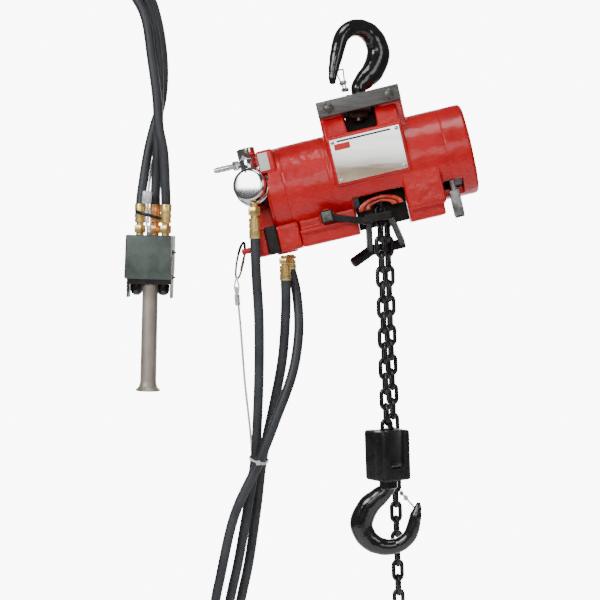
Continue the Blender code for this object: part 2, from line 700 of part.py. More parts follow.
def block_half(name, side, load_x, load_y):
    """One half of the hook block: a thick shell with a tall slot in its outer face, open at the top."""
    turn = empty(name + "_turn", (load_x, load_y, 0), (0, 0, BLOCK_YAW))
    near, far = side * GAP / 2, side * BLOCK_HALF
    half = box(name, (-BLOCK_HALF, min(near, far), BLOCK_BOTTOM), (BLOCK_HALF, max(near, far), BLOCK_TOP),
               forged_black(), turn, bevel=0.003)
    recess = box(name + "_recess", (-0.0105, min(side * 0.0135, side * 0.03), BLOCK_BOTTOM + 0.017),
                 (0.0105, max(side * 0.0135, side * 0.03), BLOCK_TOP + 0.01), parent=turn, bevel=0.005)
    channel = rod(name + "_channel", (0, 0, BLOCK_BOTTOM + 0.022), (0, 0, BLOCK_TOP + 0.01), 0.0103,
                  parent=turn)
    cavity = rod(name + "_cavity", (0, 0, BLOCK_BOTTOM + 0.005), (0, 0, BLOCK_BOTTOM + 0.0185), 0.0125,
                 parent=turn)
    neck = rod(name + "_neck", (0, 0, BLOCK_BOTTOM - 0.01), (0, 0, BLOCK_BOTTOM + 0.01), 0.0095,
               parent=turn)
    return cut(half, recess, channel, cavity, neck)


def bottom_hook(load_x, load_y):
    hang = empty("bottom_hook_hang", (load_x, load_y, BOTTOM_BOWL_Z))
    tip = [((0.0335, 0.007), 0.0078), ((0.0365, 0.017), 0.0055), ((0.0375, 0.0225), 0.0035)]
    hook("bottom_hook", tip, 0.003, forged_black(), hang)
    nut_top = BLOCK_BOTTOM + 0.0150 - BOTTOM_BOWL_Z
    ring("bottom_hook_nut", (0, 0, nut_top - 0.0085), (0, 0, nut_top), 0.0118, SHANK_R + GAP,
         bright_steel(), hang)
    latch("bottom_hook_latch", (0.0165, 0, 0.037), 0.0225, math.radians(140), bright_steel(), hang)


# Limit lever

def limit_lever(body):
    pad = LEVER_PIVOT
    lever = box("limit_lever", pad - Vector((0.008, 0.005, 0.008)),
                pad + Vector((0.008, 0.0045, 0.008)), forged_black(), body, pad)
    front_left, front_right = Vector((-0.024, -0.054, -0.147)), Vector((0.0065, -0.054, -0.1495))
    rear_left, rear_right = Vector((-0.029, 0.050, -0.188)), Vector((0.0155, 0.050, -0.188))
    arm = beam("lever_arm", pad + Vector((0.004, 0, -0.001)), Vector((-0.018, -0.054, -0.152)), 0.008,
               0.008, parent=body)
    corner = Vector((0.0035, 0, 0))
    top = beam("yoke_front", front_left, front_right + corner, 0.010, 0.009, parent=body)
    left = beam("yoke_left", front_left + Vector((0.0032, 0, 0)), rear_left, 0.007, 0.009, parent=body)
    right = beam("yoke_right", front_right, rear_right, 0.007, 0.009, parent=body)
    bottom = beam("yoke_rear", rear_left - corner, rear_right + corner, 0.009, 0.012, parent=body)
    handle = rod("lever_handle", rear_left + Vector((0.006, 0.002, 0.001)),
                 Vector((-0.055, 0.040, -0.199)), 0.0068, parent=body, segments=12)
    shaft = rod("limit_shaft", pad - Vector((0, 0.007, 0)), pad + Vector((0, 0.013, 0)),
                LEVER_SHAFT_R, parent=body, segments=12)
    return join(lever, shaft, arm, top, left, right, bottom, handle)


# Snap hook and strain wire

def snap_hook(body):
    """An oval of round wire through the tab's eye, leaning towards the strain wire."""
    centre = Vector((-0.1930, EYE_PLACE[1], -0.1622))
    upward, sideways = Vector((0.40, 0, 0.917)), Vector((0.917, 0, -0.40))
    route = []
    for index in range(15):
        turn = math.radians(10 + 340 * index / 14)
        route.append(centre + upward * SNAP_LONG * math.cos(turn)
                     + sideways * SNAP_WIDE * math.sin(turn))
    return tube("snap_hook", route, 0.0016, dark_steel(), body, centre, resolution=2)


# Pendant

def pendant(frame):
    width, depth, height = COVER_SIZE
    x, y, sheet = width / 2, depth / 2, 0.0016
    cover = box("pendant_cover", (-x, -y, -height), (x, -y + sheet, 0), grey_paint(), frame)
    roof = box("cover_roof", (-x, -y, -sheet), (x, y, 0), parent=frame)
    sides = []
    for side in (-1, 1):
        outer, inner = side * x, side * (x - sheet)
        low, high = min(outer, inner), max(outer, inner)
        sides.append(box(f"cover_side_{side}", (low, -y, -height), (high, y, 0), parent=frame))
        sides.append(box(f"cover_flap_{side}", (low, -0.012, -height - 0.025),
                         (high, 0.012, -height + 0.001), parent=frame))
    holes = [rod(f"roof_hole_{index}", (*place, -0.01), (*place, 0.01), 0.0062, parent=frame,
                 segments=12) for index, place in enumerate(FITTING_PLACES)]
    eye_hole = box("roof_eye_hole", (-0.0055, -0.014, -0.01), (0.0025, -0.0095, 0.01), parent=frame)
    cut(join(cover, roof, *sides), *holes, eye_hole)
    valve = box("pendant_valve", (-0.0272, -0.0185, -0.0635), (0.0272, 0.0185, -0.0019),
                forged_black(), frame, bevel=0.001)
    bores = [rod(f"button_bore_{index}", (*place, -0.07), (*place, -0.050), BUTTON_R + GAP,
                 parent=frame) for index, place in enumerate(BUTTON_PLACES)]
    socket = rod("handle_socket", (*HANDLE_PLACE, -0.07), (*HANDLE_PLACE, -0.048), HANDLE_R + GAP,
                 parent=frame)
    eye = box("pendant_eye", (-0.0045, -0.0135, -0.003), (0.0015, -0.0103, 0.012), parent=frame)
    eye_bore = rod("eye_bore", (-0.0015, -0.02, 0.007), (-0.0015, 0, 0.007), 0.0018, parent=frame,
                   segments=10)
    cut(join(valve, eye), socket, eye_bore, *bores)
    for place, name in zip(BUTTON_PLACES, ("button_up", "button_down")):
        profile = [(0, 0), (0.003, 0.0055), (0.006, BUTTON_R), (0.0215, BUTTON_R), (0.0215, 0)]
        start = Vector((*place, -0.0785))
        turned(name, profile, start, (0, 0, 1), forged_black(), frame, start, segments=16)
    length = -HANDLE_END - 0.049
    profile = [(0, 0), (0, HANDLE_R + 0.0055), (0.003, HANDLE_R + 0.005), (0.008, HANDLE_R),
               (length, HANDLE_R), (length, 0)]
    handle = turned("pendant_handle", profile, (*HANDLE_PLACE, HANDLE_END), (0, 0, 1), dark_steel(),
                    frame, segments=20)
    cut(handle, rod("handle_bore", (*HANDLE_PLACE, HANDLE_END - 0.01), (*HANDLE_PLACE, -0.060),
                    HANDLE_R - 0.002, parent=frame))
    for index, place in enumerate(FITTING_PLACES):
        hose_fitting(f"pendant_fitting_{index + 1}", (*place, -0.0016), (*place, 0.037), brass(), frame)


# Hoses and strain wire

HOSE_ROUTES = {
    "supply_hose": [
        (-0.1355, -0.0560, -0.2545), (-0.1355, -0.0550, -0.3000), (-0.1345, -0.0490, -0.3600),
        (-0.1375, -0.0410, -0.4300), (-0.1425, -0.0345, -0.4950), (-0.1470, -0.0330, -0.5415),
        (-0.1600, -0.0340, -0.6100), (-0.1800, -0.0360, -0.7000), (-0.2080, -0.0410, -0.7850),
        (-0.2800, -0.0460, -0.8660), (-0.3920, -0.0460, -0.8750), (-0.4860, -0.0410, -0.8050),
        (-0.5210, -0.0260, -0.6400), (-0.5290, -0.0060, -0.4000), (-0.5290, 0.0020, -0.1500),
        (-0.5200, 0.0020, 0.0350), (-0.4900, 0.0020, 0.1040), (-0.4500, 0.0020, 0.1470),
        (-0.3950, 0.0020, 0.1700), (-0.3400, 0.0020, 0.1470), (-0.3020, 0.0020, 0.1060),
        (-0.2770, 0.0020, 0.0680), (-0.2643, 0.0020, 0.0315), (-0.2582, 0.0020, -0.0207),
        (-0.2595, 0.0020, -0.0690), (-0.2612, 0.0010, -0.1090), (-0.2640, 0.0030, -0.1415),
        (-0.2690, 0.0080, -0.1910), (-0.2698, 0.0090, -0.2095)],
    "pilot_hose_up": [
        (-0.1003, -0.0300, -0.3092), (-0.1010, -0.0280, -0.3450), (-0.1078, -0.0200, -0.4100),
        (-0.1210, -0.0160, -0.4700), (-0.1385, -0.0160, -0.5415), (-0.1490, -0.0180, -0.6100),
        (-0.1665, -0.0200, -0.7000), (-0.1940, -0.0240, -0.7750), (-0.2700, -0.0280, -0.8480),
        (-0.3850, -0.0280, -0.8580), (-0.4740, -0.0270, -0.7930), (-0.5060, -0.0200, -0.6400),
        (-0.5130, -0.0140, -0.4000), (-0.5130, -0.0120, -0.1500), (-0.5060, -0.0120, 0.0300),
        (-0.4780, -0.0120, 0.0980), (-0.4400, -0.0120, 0.1374), (-0.3950, -0.0120, 0.1560),
        (-0.3500, -0.0120, 0.1374), (-0.3120, -0.0120, 0.0980), (-0.2860, -0.0120, 0.0640),
        (-0.2708, -0.0120, 0.0320), (-0.2647, -0.0120, -0.0200), (-0.2598, -0.0120, -0.0690),
        (-0.2586, -0.0120, -0.1090), (-0.2538, -0.0100, -0.1420), (-0.2539, -0.0050, -0.1910),
        (-0.2543, -0.0030, -0.2102)],
    "pilot_hose_down": [
        (-0.0941, -0.0130, -0.2965), (-0.0872, -0.0170, -0.3300), (-0.0855, -0.0280, -0.3780),
        (-0.0945, -0.0400, -0.4300), (-0.1170, -0.0475, -0.4870), (-0.1405, -0.0485, -0.5415),
        (-0.1745, -0.0520, -0.6100), (-0.1980, -0.0560, -0.7000), (-0.2220, -0.0600, -0.7900),
        (-0.2920, -0.0630, -0.8830), (-0.3980, -0.0640, -0.8930), (-0.4980, -0.0580, -0.8180),
        (-0.5360, -0.0360, -0.6400), (-0.5450, 0.0040, -0.4000), (-0.5450, 0.0160, -0.1500),
        (-0.5350, 0.0160, 0.0380), (-0.5040, 0.0160, 0.1100), (-0.4600, 0.0160, 0.1580),
        (-0.3950, 0.0160, 0.1850), (-0.3300, 0.0160, 0.1580), (-0.2930, 0.0160, 0.1140),
        (-0.2710, 0.0160, 0.0720), (-0.2591, 0.0160, 0.0314), (-0.2537, 0.0160, -0.0208),
        (-0.2572, 0.0160, -0.0690), (-0.2695, 0.0140, -0.1090), (-0.2776, 0.0100, -0.1410),
        (-0.2862, 0.0030, -0.1900), (-0.2883, 0.0000, -0.2088)],
}
WIRE_ROUTE = [
    (-0.1635, -0.0290, -0.3180), (-0.1600, -0.0300, -0.3700), (-0.1575, -0.0250, -0.4400),
    (-0.1522, -0.0185, -0.5415), (-0.1640, -0.0200, -0.6100), (-0.1860, -0.0180, -0.7000),
    (-0.2160, -0.0140, -0.7900), (-0.2850, -0.0120, -0.8320), (-0.3800, -0.0120, -0.8360),
    (-0.4880, -0.0100, -0.7750), (-0.5030, -0.0040, -0.6400), (-0.5000, 0.0100, -0.4000),
    (-0.4970, 0.0260, -0.1500), (-0.4920, 0.0300, 0.0250), (-0.4720, 0.0300, 0.0920),
    (-0.4367, 0.0300, 0.1342), (-0.3950, 0.0300, 0.1515), (-0.3533, 0.0300, 0.1342),
    (-0.3100, 0.0300, 0.0980), (-0.2810, 0.0300, 0.0620), (-0.2680, 0.0310, 0.0300),
    (-0.2620, 0.0320, -0.0500), (-0.2645, 0.0280, -0.1090), (-0.2738, 0.0180, -0.1550),
    (-0.2770, -0.0010, -0.1920), (-0.2770, -0.0120, -0.2220), (-0.2768, -0.0155, -0.2320)]


def cords():
    for name, route in HOSE_ROUTES.items():
        tube(name, smooth_route(route, 2.9 * HOSE_D), HOSE_D / 2, rubber())
    tube("strain_wire", smooth_route(WIRE_ROUTE, 0.045), WIRE_D / 2, white_plastic())


def cable_tie():
    """A strap closed round the three hoses, with room for each."""
    low, high = Vector((-0.1562, -0.0565, -0.5440)), Vector((-0.1300, -0.0080, -0.5390))
    inset = Vector((0.0012, 0.0012, -0.01))
    tie = box("cable_tie", low, high, white_plastic())
    return cut(tie, box("tie_hole", low + inset, high - inset))


def hose_hanger():
    """A saddle that carries the hoses' arch over the pendant, with a flat foot for the beam above."""
    centre = Vector((-0.395, -0.026, 0.0925))
    saddle = ring("hose_hanger", centre, centre + Vector((0, 0.080, 0)), 0.0510, 0.0470, dark_steel(),
                  segments=24)
    below = box("saddle_below", (-0.5, -0.04, 0.0), (-0.3, 0.06, 0.100))
    plate = box("hanger_plate", (-0.425, 0.0505, 0.100), (-0.365, 0.0545, 0.215))
    foot = box("hanger_foot", (-0.425, 0.0105, 0.211), (-0.365, 0.0545, 0.215))
    return join(cut(saddle, below), plate, foot)


def build():
    clear_scene()
    body = empty("hoist_frame", BAR_CENTRE, (0, TILT, 0))
    centre_housing(body)
    motor_housing(body)
    motor_end_cover(body)
    gear_case(body)
    valve_chest(body)
    inlet_manifold(body)
    hanger_lug(body)
    nameplate(body)
    chain_guide(body)
    suspension_bar(-1, body)
    suspension_bar(1, body)
    bar_bolt("bar_bolt_left", -BOLT_X, body)
    bar_bolt("bar_bolt_right", BOLT_X, body)
    hang = empty("trunnion_axis", BAR_CENTRE)
    hook_trunnion(hang)
    swivel = empty("top_hook_swivel", (0, 0, -HOOK_BOWL_R), (0, 0, TOP_HOOK_YAW))
    top_hook(swivel)
    hook_nut("top_hook_nut", BAR_CENTRE.z + HOOK_BOWL_R - 0.0098, 0.008, swivel)
    latch("top_hook_latch", (-0.0215, 0, -0.0485), 0.0265, math.radians(-20), bright_steel(), swivel)
    inlet_valve(body)
    tower = empty("inlet_swivel_axis", (*TOWER_PLACE, -0.0502), parent=body)
    inlet_swivel(tower)
    for name, (x, y), top, bottom in PORT_FITTINGS:
        hose_fitting(name, (x, y, top), (x, y, bottom), brass())
    drive(body)
    load_wheel(body)
    gears(body)
    load_top = chains(body)
    block_half("block_half_front", -1, load_top.x, load_top.y)
    block_half("block_half_rear", 1, load_top.x, load_top.y)
    bottom_hook(load_top.x, load_top.y)
    limit_lever(body)
    snap_hook(body)
    pendant(empty("pendant_frame", PENDANT_TOP, (0, PENDANT_LEAN, 0)))
    cords()
    cable_tie()
    hose_hanger()


build()
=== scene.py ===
"""The chain hoist's looks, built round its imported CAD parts. Metres, +Z up, origin at the top hook."""
from math import cos, pi, radians, sin

import bmesh
import bpy
from mathutils import Euler, Matrix, Vector


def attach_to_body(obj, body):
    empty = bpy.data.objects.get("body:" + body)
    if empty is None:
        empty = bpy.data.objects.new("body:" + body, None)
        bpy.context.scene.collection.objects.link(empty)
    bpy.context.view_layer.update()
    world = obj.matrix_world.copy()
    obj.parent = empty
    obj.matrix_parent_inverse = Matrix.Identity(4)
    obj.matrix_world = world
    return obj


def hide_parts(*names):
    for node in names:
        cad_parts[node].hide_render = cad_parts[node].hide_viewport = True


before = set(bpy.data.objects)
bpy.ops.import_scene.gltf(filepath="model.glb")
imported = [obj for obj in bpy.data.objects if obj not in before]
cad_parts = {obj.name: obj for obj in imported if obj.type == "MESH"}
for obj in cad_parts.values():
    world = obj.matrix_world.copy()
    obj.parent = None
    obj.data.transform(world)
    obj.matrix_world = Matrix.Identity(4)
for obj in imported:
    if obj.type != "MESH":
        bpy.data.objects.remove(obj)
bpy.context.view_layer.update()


def placed(location, *degrees):
    """A place, with a turn about X, Y and Z."""
    turn = Euler([radians(angle) for angle in degrees])
    return Matrix.Translation(location) @ turn.to_matrix().to_4x4()


# Places: each piece is drawn in its own straight frame and then put here

AXIS_Z = -0.088
BODY_R = 0.058
LOAD_LINE = (0.02307, -0.031)
SLACK_LINE = (0.03207, 0.031)
CHAIN_TOP = -0.19453
CHAIN_PITCH, CHAIN_WIRE, CHAIN_WIDTH = 0.0195, 0.0056, 0.017
CHAIN_SKEW = radians(14)
LOAD_LINKS, SLACK_LINKS = 17, 29
HOOK_BOWL_R = 0.022
BOWL_Z = -0.626
BLOCK_HALF, BLOCK_LOW, BLOCK_HIGH = 0.0215, -0.571, -0.507
HOSE_D, WIRE_D = 0.0127, 0.003
ROUTE_STEP = 0.012
FLOOR_Z = -1.35
VIEW_LENGTH = 1.95
SMOOTH_BELOW = radians(38)
WELD = 1e-6

WORLD = Matrix.Identity(4)
BODY = placed((0, 0, AXIS_Z), 0, -11.3, 0)
PENDANT = placed((-0.2755, 0, -0.248), 0, 3.4, 0)
SWIVEL = placed((0, 0, -0.022), 0, 0, 40)
TURNED_OVER = SWIVEL @ placed((0, 0, 0), 0, 180, 0)
BLOCK = placed((*LOAD_LINE, 0), 0, 0, 35)
HANG = Matrix.Translation((*LOAD_LINE, BOWL_Z))
VALVE = BODY @ placed((-0.149, -0.02, -0.078), -10, 0, -15)
TOWER = BODY @ Matrix.Translation((-0.155, -0.018, -0.0502))
PENDANT_PORTS = ((-0.015, 0), (0.0035, 0.009), (0.019, -0.003))
LUG_NOTCH = ((0.08, -0.075, -0.15), (0.106, -0.02, -0.124))


# Materials

def tree(name):
    """A new material, its node tree and its shader."""
    made = bpy.data.materials.new(name)
    made.use_nodes = True
    return made, made.node_tree, made.node_tree.nodes["Principled BSDF"]


def noise(nodes, links, scale, detail=4.0, stretch=(1, 1, 1)):
    """A cloudy pattern fixed to the object."""
    place = nodes.new("ShaderNodeTexCoord")
    mapping = nodes.new("ShaderNodeMapping")
    mapping.inputs["Scale"].default_value = stretch
    links.new(place.outputs["Object"], mapping.inputs["Vector"])
    made = nodes.new("ShaderNodeTexNoise")
    made.inputs["Scale"].default_value = scale
    made.inputs["Detail"].default_value = detail
    links.new(mapping.outputs["Vector"], made.inputs["Vector"])
    return made


def ramp(nodes, links, source, low, high):
    """Turns a pattern into a blend of two colours, or of two greys given as plain numbers."""
    made = nodes.new("ShaderNodeValToRGB")
    for element, position, tone in zip(made.color_ramp.elements, (0.35, 0.65), (low, high)):
        element.position = position
        element.color = (*tone, 1) if isinstance(tone, tuple) else (tone, tone, tone, 1)
    links.new(source, made.inputs["Fac"])
    return made


def surface(name, low, high, rough, metallic=0.0, scale=60.0, bump=0.0, grain=200.0, coat=0.0,
            stretch=(1, 1, 1), spread=0.06, depth=0.0006, gloss=0.5):
    """A finish whose colour and sheen drift between two values, with a fine relief."""
    made, graph, shader = tree(name)
    nodes, links = graph.nodes, graph.links
    patches = noise(nodes, links, scale, stretch=stretch)
    links.new(ramp(nodes, links, patches.outputs["Fac"], low, high).outputs["Color"],
              shader.inputs["Base Color"])
    sheen = ramp(nodes, links, patches.outputs["Fac"], rough - spread, rough + spread)
    links.new(sheen.outputs["Color"], shader.inputs["Roughness"])
    shader.inputs["Metallic"].default_value = metallic
    shader.inputs["Specular IOR Level"].default_value = gloss
    shader.inputs["Coat Weight"].default_value = coat
    shader.inputs["Coat Roughness"].default_value = 0.08
    if bump:
        fine = noise(nodes, links, grain, 3.0, stretch)
        relief = nodes.new("ShaderNodeBump")
        relief.inputs["Strength"].default_value = bump
        relief.inputs["Distance"].default_value = depth
        links.new(fine.outputs["Fac"], relief.inputs["Height"])
        links.new(relief.outputs["Normal"], shader.inputs["Normal"])
        links.new(relief.outputs["Normal"], shader.inputs["Coat Normal"])
    return made


RED = surface("red enamel", (0.56, 0.0, 0.003), (0.66, 0.001, 0.005), 0.4, coat=0.3, scale=30, bump=0.35,
              grain=90, depth=0.0012)
GUIDE_RED = surface("guide enamel", (0.5, 0.01, 0.006), (0.75, 0.05, 0.01), 0.25, coat=0.8, scale=80,
                    bump=0.3)
BLACK = surface("forged black", (0.006, 0.006, 0.007), (0.016, 0.015, 0.015), 0.2, scale=50, bump=0.35,
                grain=160, coat=0.9, depth=0.0008)
CHAIN_BLACK = surface("chain black", (0.006, 0.006, 0.007), (0.03, 0.03, 0.032), 0.3, 0.4, scale=120,
                      bump=0.2, coat=0.5)
LEVER_BLACK = surface("lever black", 0.008, (0.022, 0.021, 0.02), 0.5, scale=70, bump=0.5,
                      grain=150, gloss=0.25)
BLOCK_BLACK = surface("block black", 0.006, 0.014, 0.42, scale=60, bump=0.4, grain=220)
DARK = surface("dark steel", 0.1, (0.16, 0.16, 0.157), 0.45, 0.5, scale=40, bump=0.15, stretch=(1, 1, 6))
BOLT = surface("bolt steel", (0.09, 0.09, 0.082), (0.2, 0.2, 0.185), 0.36, 0.6, scale=200, bump=0.2)
LUG_STEEL = surface("lug steel", 0.2, 0.4, 0.36, 0.7, scale=130, bump=0.2)
CHROME = surface("chrome", (0.72, 0.72, 0.73), (0.84, 0.84, 0.85), 0.09, 1.0, scale=25, spread=0.03)
PLATE = surface("polished plate", 0.82, 0.92, 0.07, 1.0, scale=25, bump=0.06, grain=22,
                spread=0.03, stretch=(0.4, 1, 2.2))
SATIN = surface("satin steel", 0.52, 0.72, 0.26, 1.0, scale=80, bump=0.05)
BRASS = surface("brass", (0.86, 0.6, 0.2), (0.95, 0.72, 0.3), 0.3, 0.75, scale=20)
COPPER = surface("copper-toned brass", (0.8, 0.36, 0.14), (0.9, 0.46, 0.2), 0.3, 0.75, scale=20)
HOSE = surface("hose rubber", (0.033, 0.037, 0.042), (0.055, 0.06, 0.068), 0.48, scale=30, bump=0.12,
               grain=260)
SHEET = surface("grey-green sheet", (0.06, 0.082, 0.074), (0.105, 0.135, 0.12), 0.5, 0.15, scale=70,
                bump=0.25, grain=300)
PIPE = surface("worn pipe", (0.35, 0.31, 0.26), (0.55, 0.5, 0.44), 0.48, 0.5, scale=34, bump=0.3,
               grain=120, stretch=(1, 1, 0.5))
BUTTON = surface("button black", (0.01, 0.009, 0.013), (0.02, 0.018, 0.024), 0.16, scale=40, coat=0.9)
CORD_WHITE = surface("strain cord", (0.8, 0.78, 0.75), (0.93, 0.92, 0.9), 0.55, scale=150, bump=0.5,
                     grain=700, stretch=(1, 1, 0.4))
NYLON = surface("white nylon", (0.74, 0.74, 0.72), (0.86, 0.86, 0.85), 0.4, scale=60)
SLEEVE = surface("crimp sleeve", 0.6, 0.82, 0.34, 0.3, scale=260, bump=0.2)
TIE_BLACK = surface("black nylon", (0.01, 0.01, 0.012), (0.022, 0.022, 0.025), 0.4, scale=60)
INSIDE = surface("inside steel", 0.1, 0.22, 0.4, 0.8, scale=60)
LABEL_RED = surface("label red", (0.62, 0.01, 0.015), (0.7, 0.015, 0.02), 0.35, scale=60)
LABEL_BLACK = surface("label black", 0.008, 0.015, 0.4, scale=60)


# Shapes

def linked(name, data):
    """A new object in the scene."""
    made = bpy.data.objects.new(name, data)
    bpy.context.scene.collection.objects.link(made)
    return made


def repaint(data, material):
    data.materials.clear()
    data.materials.append(material)


def attach(made, body, node=None):
    """Makes the piece ride on its body, and hides the CAD node that it replaces."""
    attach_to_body(made, body)
    if node:
        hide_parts(node)


def finish(name, built, material, place=WORLD, body="hoist_body", node=None):
    """Turns a bmesh or mesh into a placed, smooth object that rides on its body."""
    data = built
    if isinstance(built, bmesh.types.BMesh):
        bmesh.ops.remove_doubles(built, verts=built.verts, dist=WELD)
        bmesh.ops.recalc_face_normals(built, faces=built.faces)
        data = bpy.data.meshes.new(name)
        built.to_mesh(data)
        built.free()
    data.transform(place)
    repaint(data, material)
    made = linked(name, data)
    data.shade_smooth()
    data.set_sharp_from_angle(angle=SMOOTH_BELOW)
    if body:
        attach(made, body, node)
    return made


def baked(made, helpers):
    """The object's mesh with its modifiers applied; the object and its helpers are removed."""
    bpy.context.view_layer.update()
    graph = bpy.context.evaluated_depsgraph_get()
    data = bpy.data.meshes.new_from_object(made.evaluated_get(graph))
    for used in (made, *helpers):
        bpy.data.objects.remove(used)
    return data


def bevelled(built, width, segments):
    if width:
        bmesh.ops.bevel(built, geom=list(built.edges), offset=width, segments=segments, profile=0.5,
                        affect="EDGES", clamp_overlap=True)
    return built


def block(low, high, bevel=0.0, segments=3):
    """A box between two corners."""
    built = bmesh.new()
    bmesh.ops.create_cube(built, size=1)
    low, high = Vector(low), Vector(high)
    for vert in built.verts:
        vert.co = Vector([low[i] + (vert.co[i] + 0.5) * (high[i] - low[i]) for i in range(3)])
    return bevelled(built, bevel, segments)


def lathe(profile, start, direction, segments=48):
    """Turns (along, radius) points about an axis."""
    axis = Vector(direction).normalized()
    side = axis.orthogonal().normalized()
    other = axis.cross(side)
    built = bmesh.new()
    rings = []
    for along, radius in profile:
        centre = Vector(start) + axis * along
        if radius < WELD:
            rings.append([built.verts.new(centre)])
            continue
        rings.append([built.verts.new(centre + side * (radius * cos(2 * pi * i / segments))
                                      + other * (radius * sin(2 * pi * i / segments)))
                      for i in range(segments)])
    for first, second in zip(rings, rings[1:]):
        for i in range(segments):
            after = (i + 1) % segments
            corners = [first[i % len(first)], first[after % len(first)], second[after % len(second)],
                       second[i % len(second)]]
            kept = list(dict.fromkeys(corners))
            if len(kept) > 2:
                built.faces.new(kept)
    return built


def rod(start, end, radius, segments=32, edge=0.0004):
    """A round bar with its rims taken off."""
    length = (Vector(end) - Vector(start)).length
    edge = min(edge, radius * 0.4, length * 0.4)
    profile = [(0, 0), (0, radius - edge), (edge, radius), (length - edge, radius), (length, radius - edge),
               (length, 0)]
    return lathe(profile, start, Vector(end) - Vector(start), segments)


def prism(outline, low, high, axis=1, bevel=0.0):
    """Pushes an outline in the plane across an axis from low to high along it."""
    built = bmesh.new()

    def corner(pair, at):
        values = list(pair)
        values.insert(axis, at)
        return built.verts.new(values)
    first = [corner(pair, low) for pair in outline]
    second = [corner(pair, high) for pair in outline]
    built.faces.new(first)
    built.faces.new(list(reversed(second)))
    for i in range(len(outline)):
        after = (i + 1) % len(outline)
        built.faces.new((first[i], second[i], second[after], first[after]))
    bmesh.ops.recalc_face_normals(built, faces=built.faces)
    return bevelled(built, bevel, 2)


def distances(points):
    """How far along the line each of its points is."""
    made = [0.0]
    for first, second in zip(points, points[1:]):
        made.append(made[-1] + (second - first).length)
    return made


def curve_points(route, spacing):
    """Even points along a smooth line through the route's points."""
    points = [Vector(p) for p in route]
    ends = [points[0] * 2 - points[1]] + points + [points[-1] * 2 - points[-2]]
    dense = []
    for i in range(1, len(ends) - 2):
        a, b, c, d = ends[i - 1:i + 3]
        for step in range(24):
            t = step / 24
            dense.append(0.5 * (2 * b + (c - a) * t + (2 * a - 5 * b + 4 * c - d) * t ** 2
                                + (3 * b - a - 3 * c + d) * t ** 3))
    dense.append(points[-1])
    reach = distances(dense)
    count = max(2, round(reach[-1] / spacing))
    even, index = [], 0
    for step in range(count + 1):
        want = reach[-1] * step / count
        while index < len(reach) - 2 and reach[index + 1] < want:
            index += 1
        share = (want - reach[index]) / max(reach[index + 1] - reach[index], 1e-9)
        even.append(dense[index].lerp(dense[index + 1], min(max(share, 0), 1)))
    return even


def sweep(points, sizes, sides=20, across=None, closed=False):
    """A tube along points; each size is (half width in plane, half width across it)."""
    built = bmesh.new()
    count = len(points)
    rings = []
    normal = None
    for i, point in enumerate(points):
        earlier = points[i - 1] if (i or closed) else points[i]
        later = points[(i + 1) % count] if (i < count - 1 or closed) else points[i]
        along = (Vector(later) - Vector(earlier)).normalized()
        if across is not None:
            normal = Vector(across)
        elif normal is None:
            normal = along.orthogonal()
        normal = (normal - along * normal.dot(along)).normalized()
        inward = along.cross(normal)
        wide, deep = sizes[i] if isinstance(sizes, list) else sizes
        ring = []
        for side in range(sides):
            turn = 2 * pi * side / sides
            ring.append(built.verts.new(Vector(point) + inward * (wide * cos(turn))
                                        + normal * (deep * sin(turn))))
        rings.append(ring)
    for first, second in zip(rings, rings[1:] + rings[:1] if closed else rings[1:]):
        for side in range(sides):
            after = (side + 1) % sides
            built.faces.new((first[side], first[after], second[after], second[side]))
    if not closed:
        built.faces.new(list(reversed(rings[0])))
        built.faces.new(rings[-1])
    return built


def merged(*parts):
    """One bmesh holding all the parts, side by side."""
    whole = parts[0]
    for part in parts[1:]:
        data = bpy.data.meshes.new("part")
        part.to_mesh(data)
        part.free()
        whole.from_mesh(data)
        bpy.data.meshes.remove(data)
    return whole


def loose(built):
    """A plain object for Booleans and remeshing."""
    bmesh.ops.recalc_face_normals(built, faces=built.faces)
    data = bpy.data.meshes.new("loose")
    built.to_mesh(data)
    built.free()
    return linked("loose", data)


def combine(base, operation, group):
    """Gives the base one Boolean for each solid of the group, and returns their objects."""
    others = [loose(built) for built in group]
    for other in others:
        step = base.modifiers.new("step", "BOOLEAN")
        step.operation, step.solver, step.object = operation, "EXACT", other
    return others


def cast(solids, cutters=(), voxel=0.0011, rounds=4, lumps=0.0006):
    """One casting from overlapping solids, less the cutters, with every corner rounded over."""
    base = loose(solids[0])
    others = combine(base, "UNION", solids[1:]) + combine(base, "DIFFERENCE", cutters)
    grid = base.modifiers.new("grid", "REMESH")
    grid.mode, grid.voxel_size, grid.adaptivity = "VOXEL", voxel, 0.0
    even = base.modifiers.new("even", "SMOOTH")
    even.iterations, even.factor = rounds, 0.5
    texture = bpy.data.textures.new("lumps", "CLOUDS")
    texture.noise_scale = 0.012
    push = base.modifiers.new("push", "DISPLACE")
    push.texture, push.strength, push.mid_level, push.texture_coords = texture, lumps, 0.5, "LOCAL"
    return baked(base, others)


def carved(solid, cutters, bevel=0.0):
    """A solid less its cutters, with its sharp corners bevelled."""
    base = loose(solid)
    others = combine(base, "DIFFERENCE", cutters)
    if bevel:
        edge = base.modifiers.new("edge", "BEVEL")
        edge.width, edge.segments, edge.limit_method = bevel, 2, "ANGLE"
        edge.angle_limit = radians(40)
    return baked(base, others)


def moved(built, place):
    """The bmesh, put at a place."""
    bmesh.ops.transform(built, matrix=place, verts=built.verts)
    return built


def on_axis(x):
    """The point of the motor's axis at x."""
    return (x, 0, AXIS_Z)


def hexagon(start, end, radius, edge):
    """A six-sided nut between two points."""
    along = Vector(end) - Vector(start)
    length = along.length
    return lathe([(0, 0), (0, radius * 0.93), (edge, radius), (length - edge, radius),
                  (length, radius * 0.93), (length, 0)], start, along, 6)


# Camera, light and stage

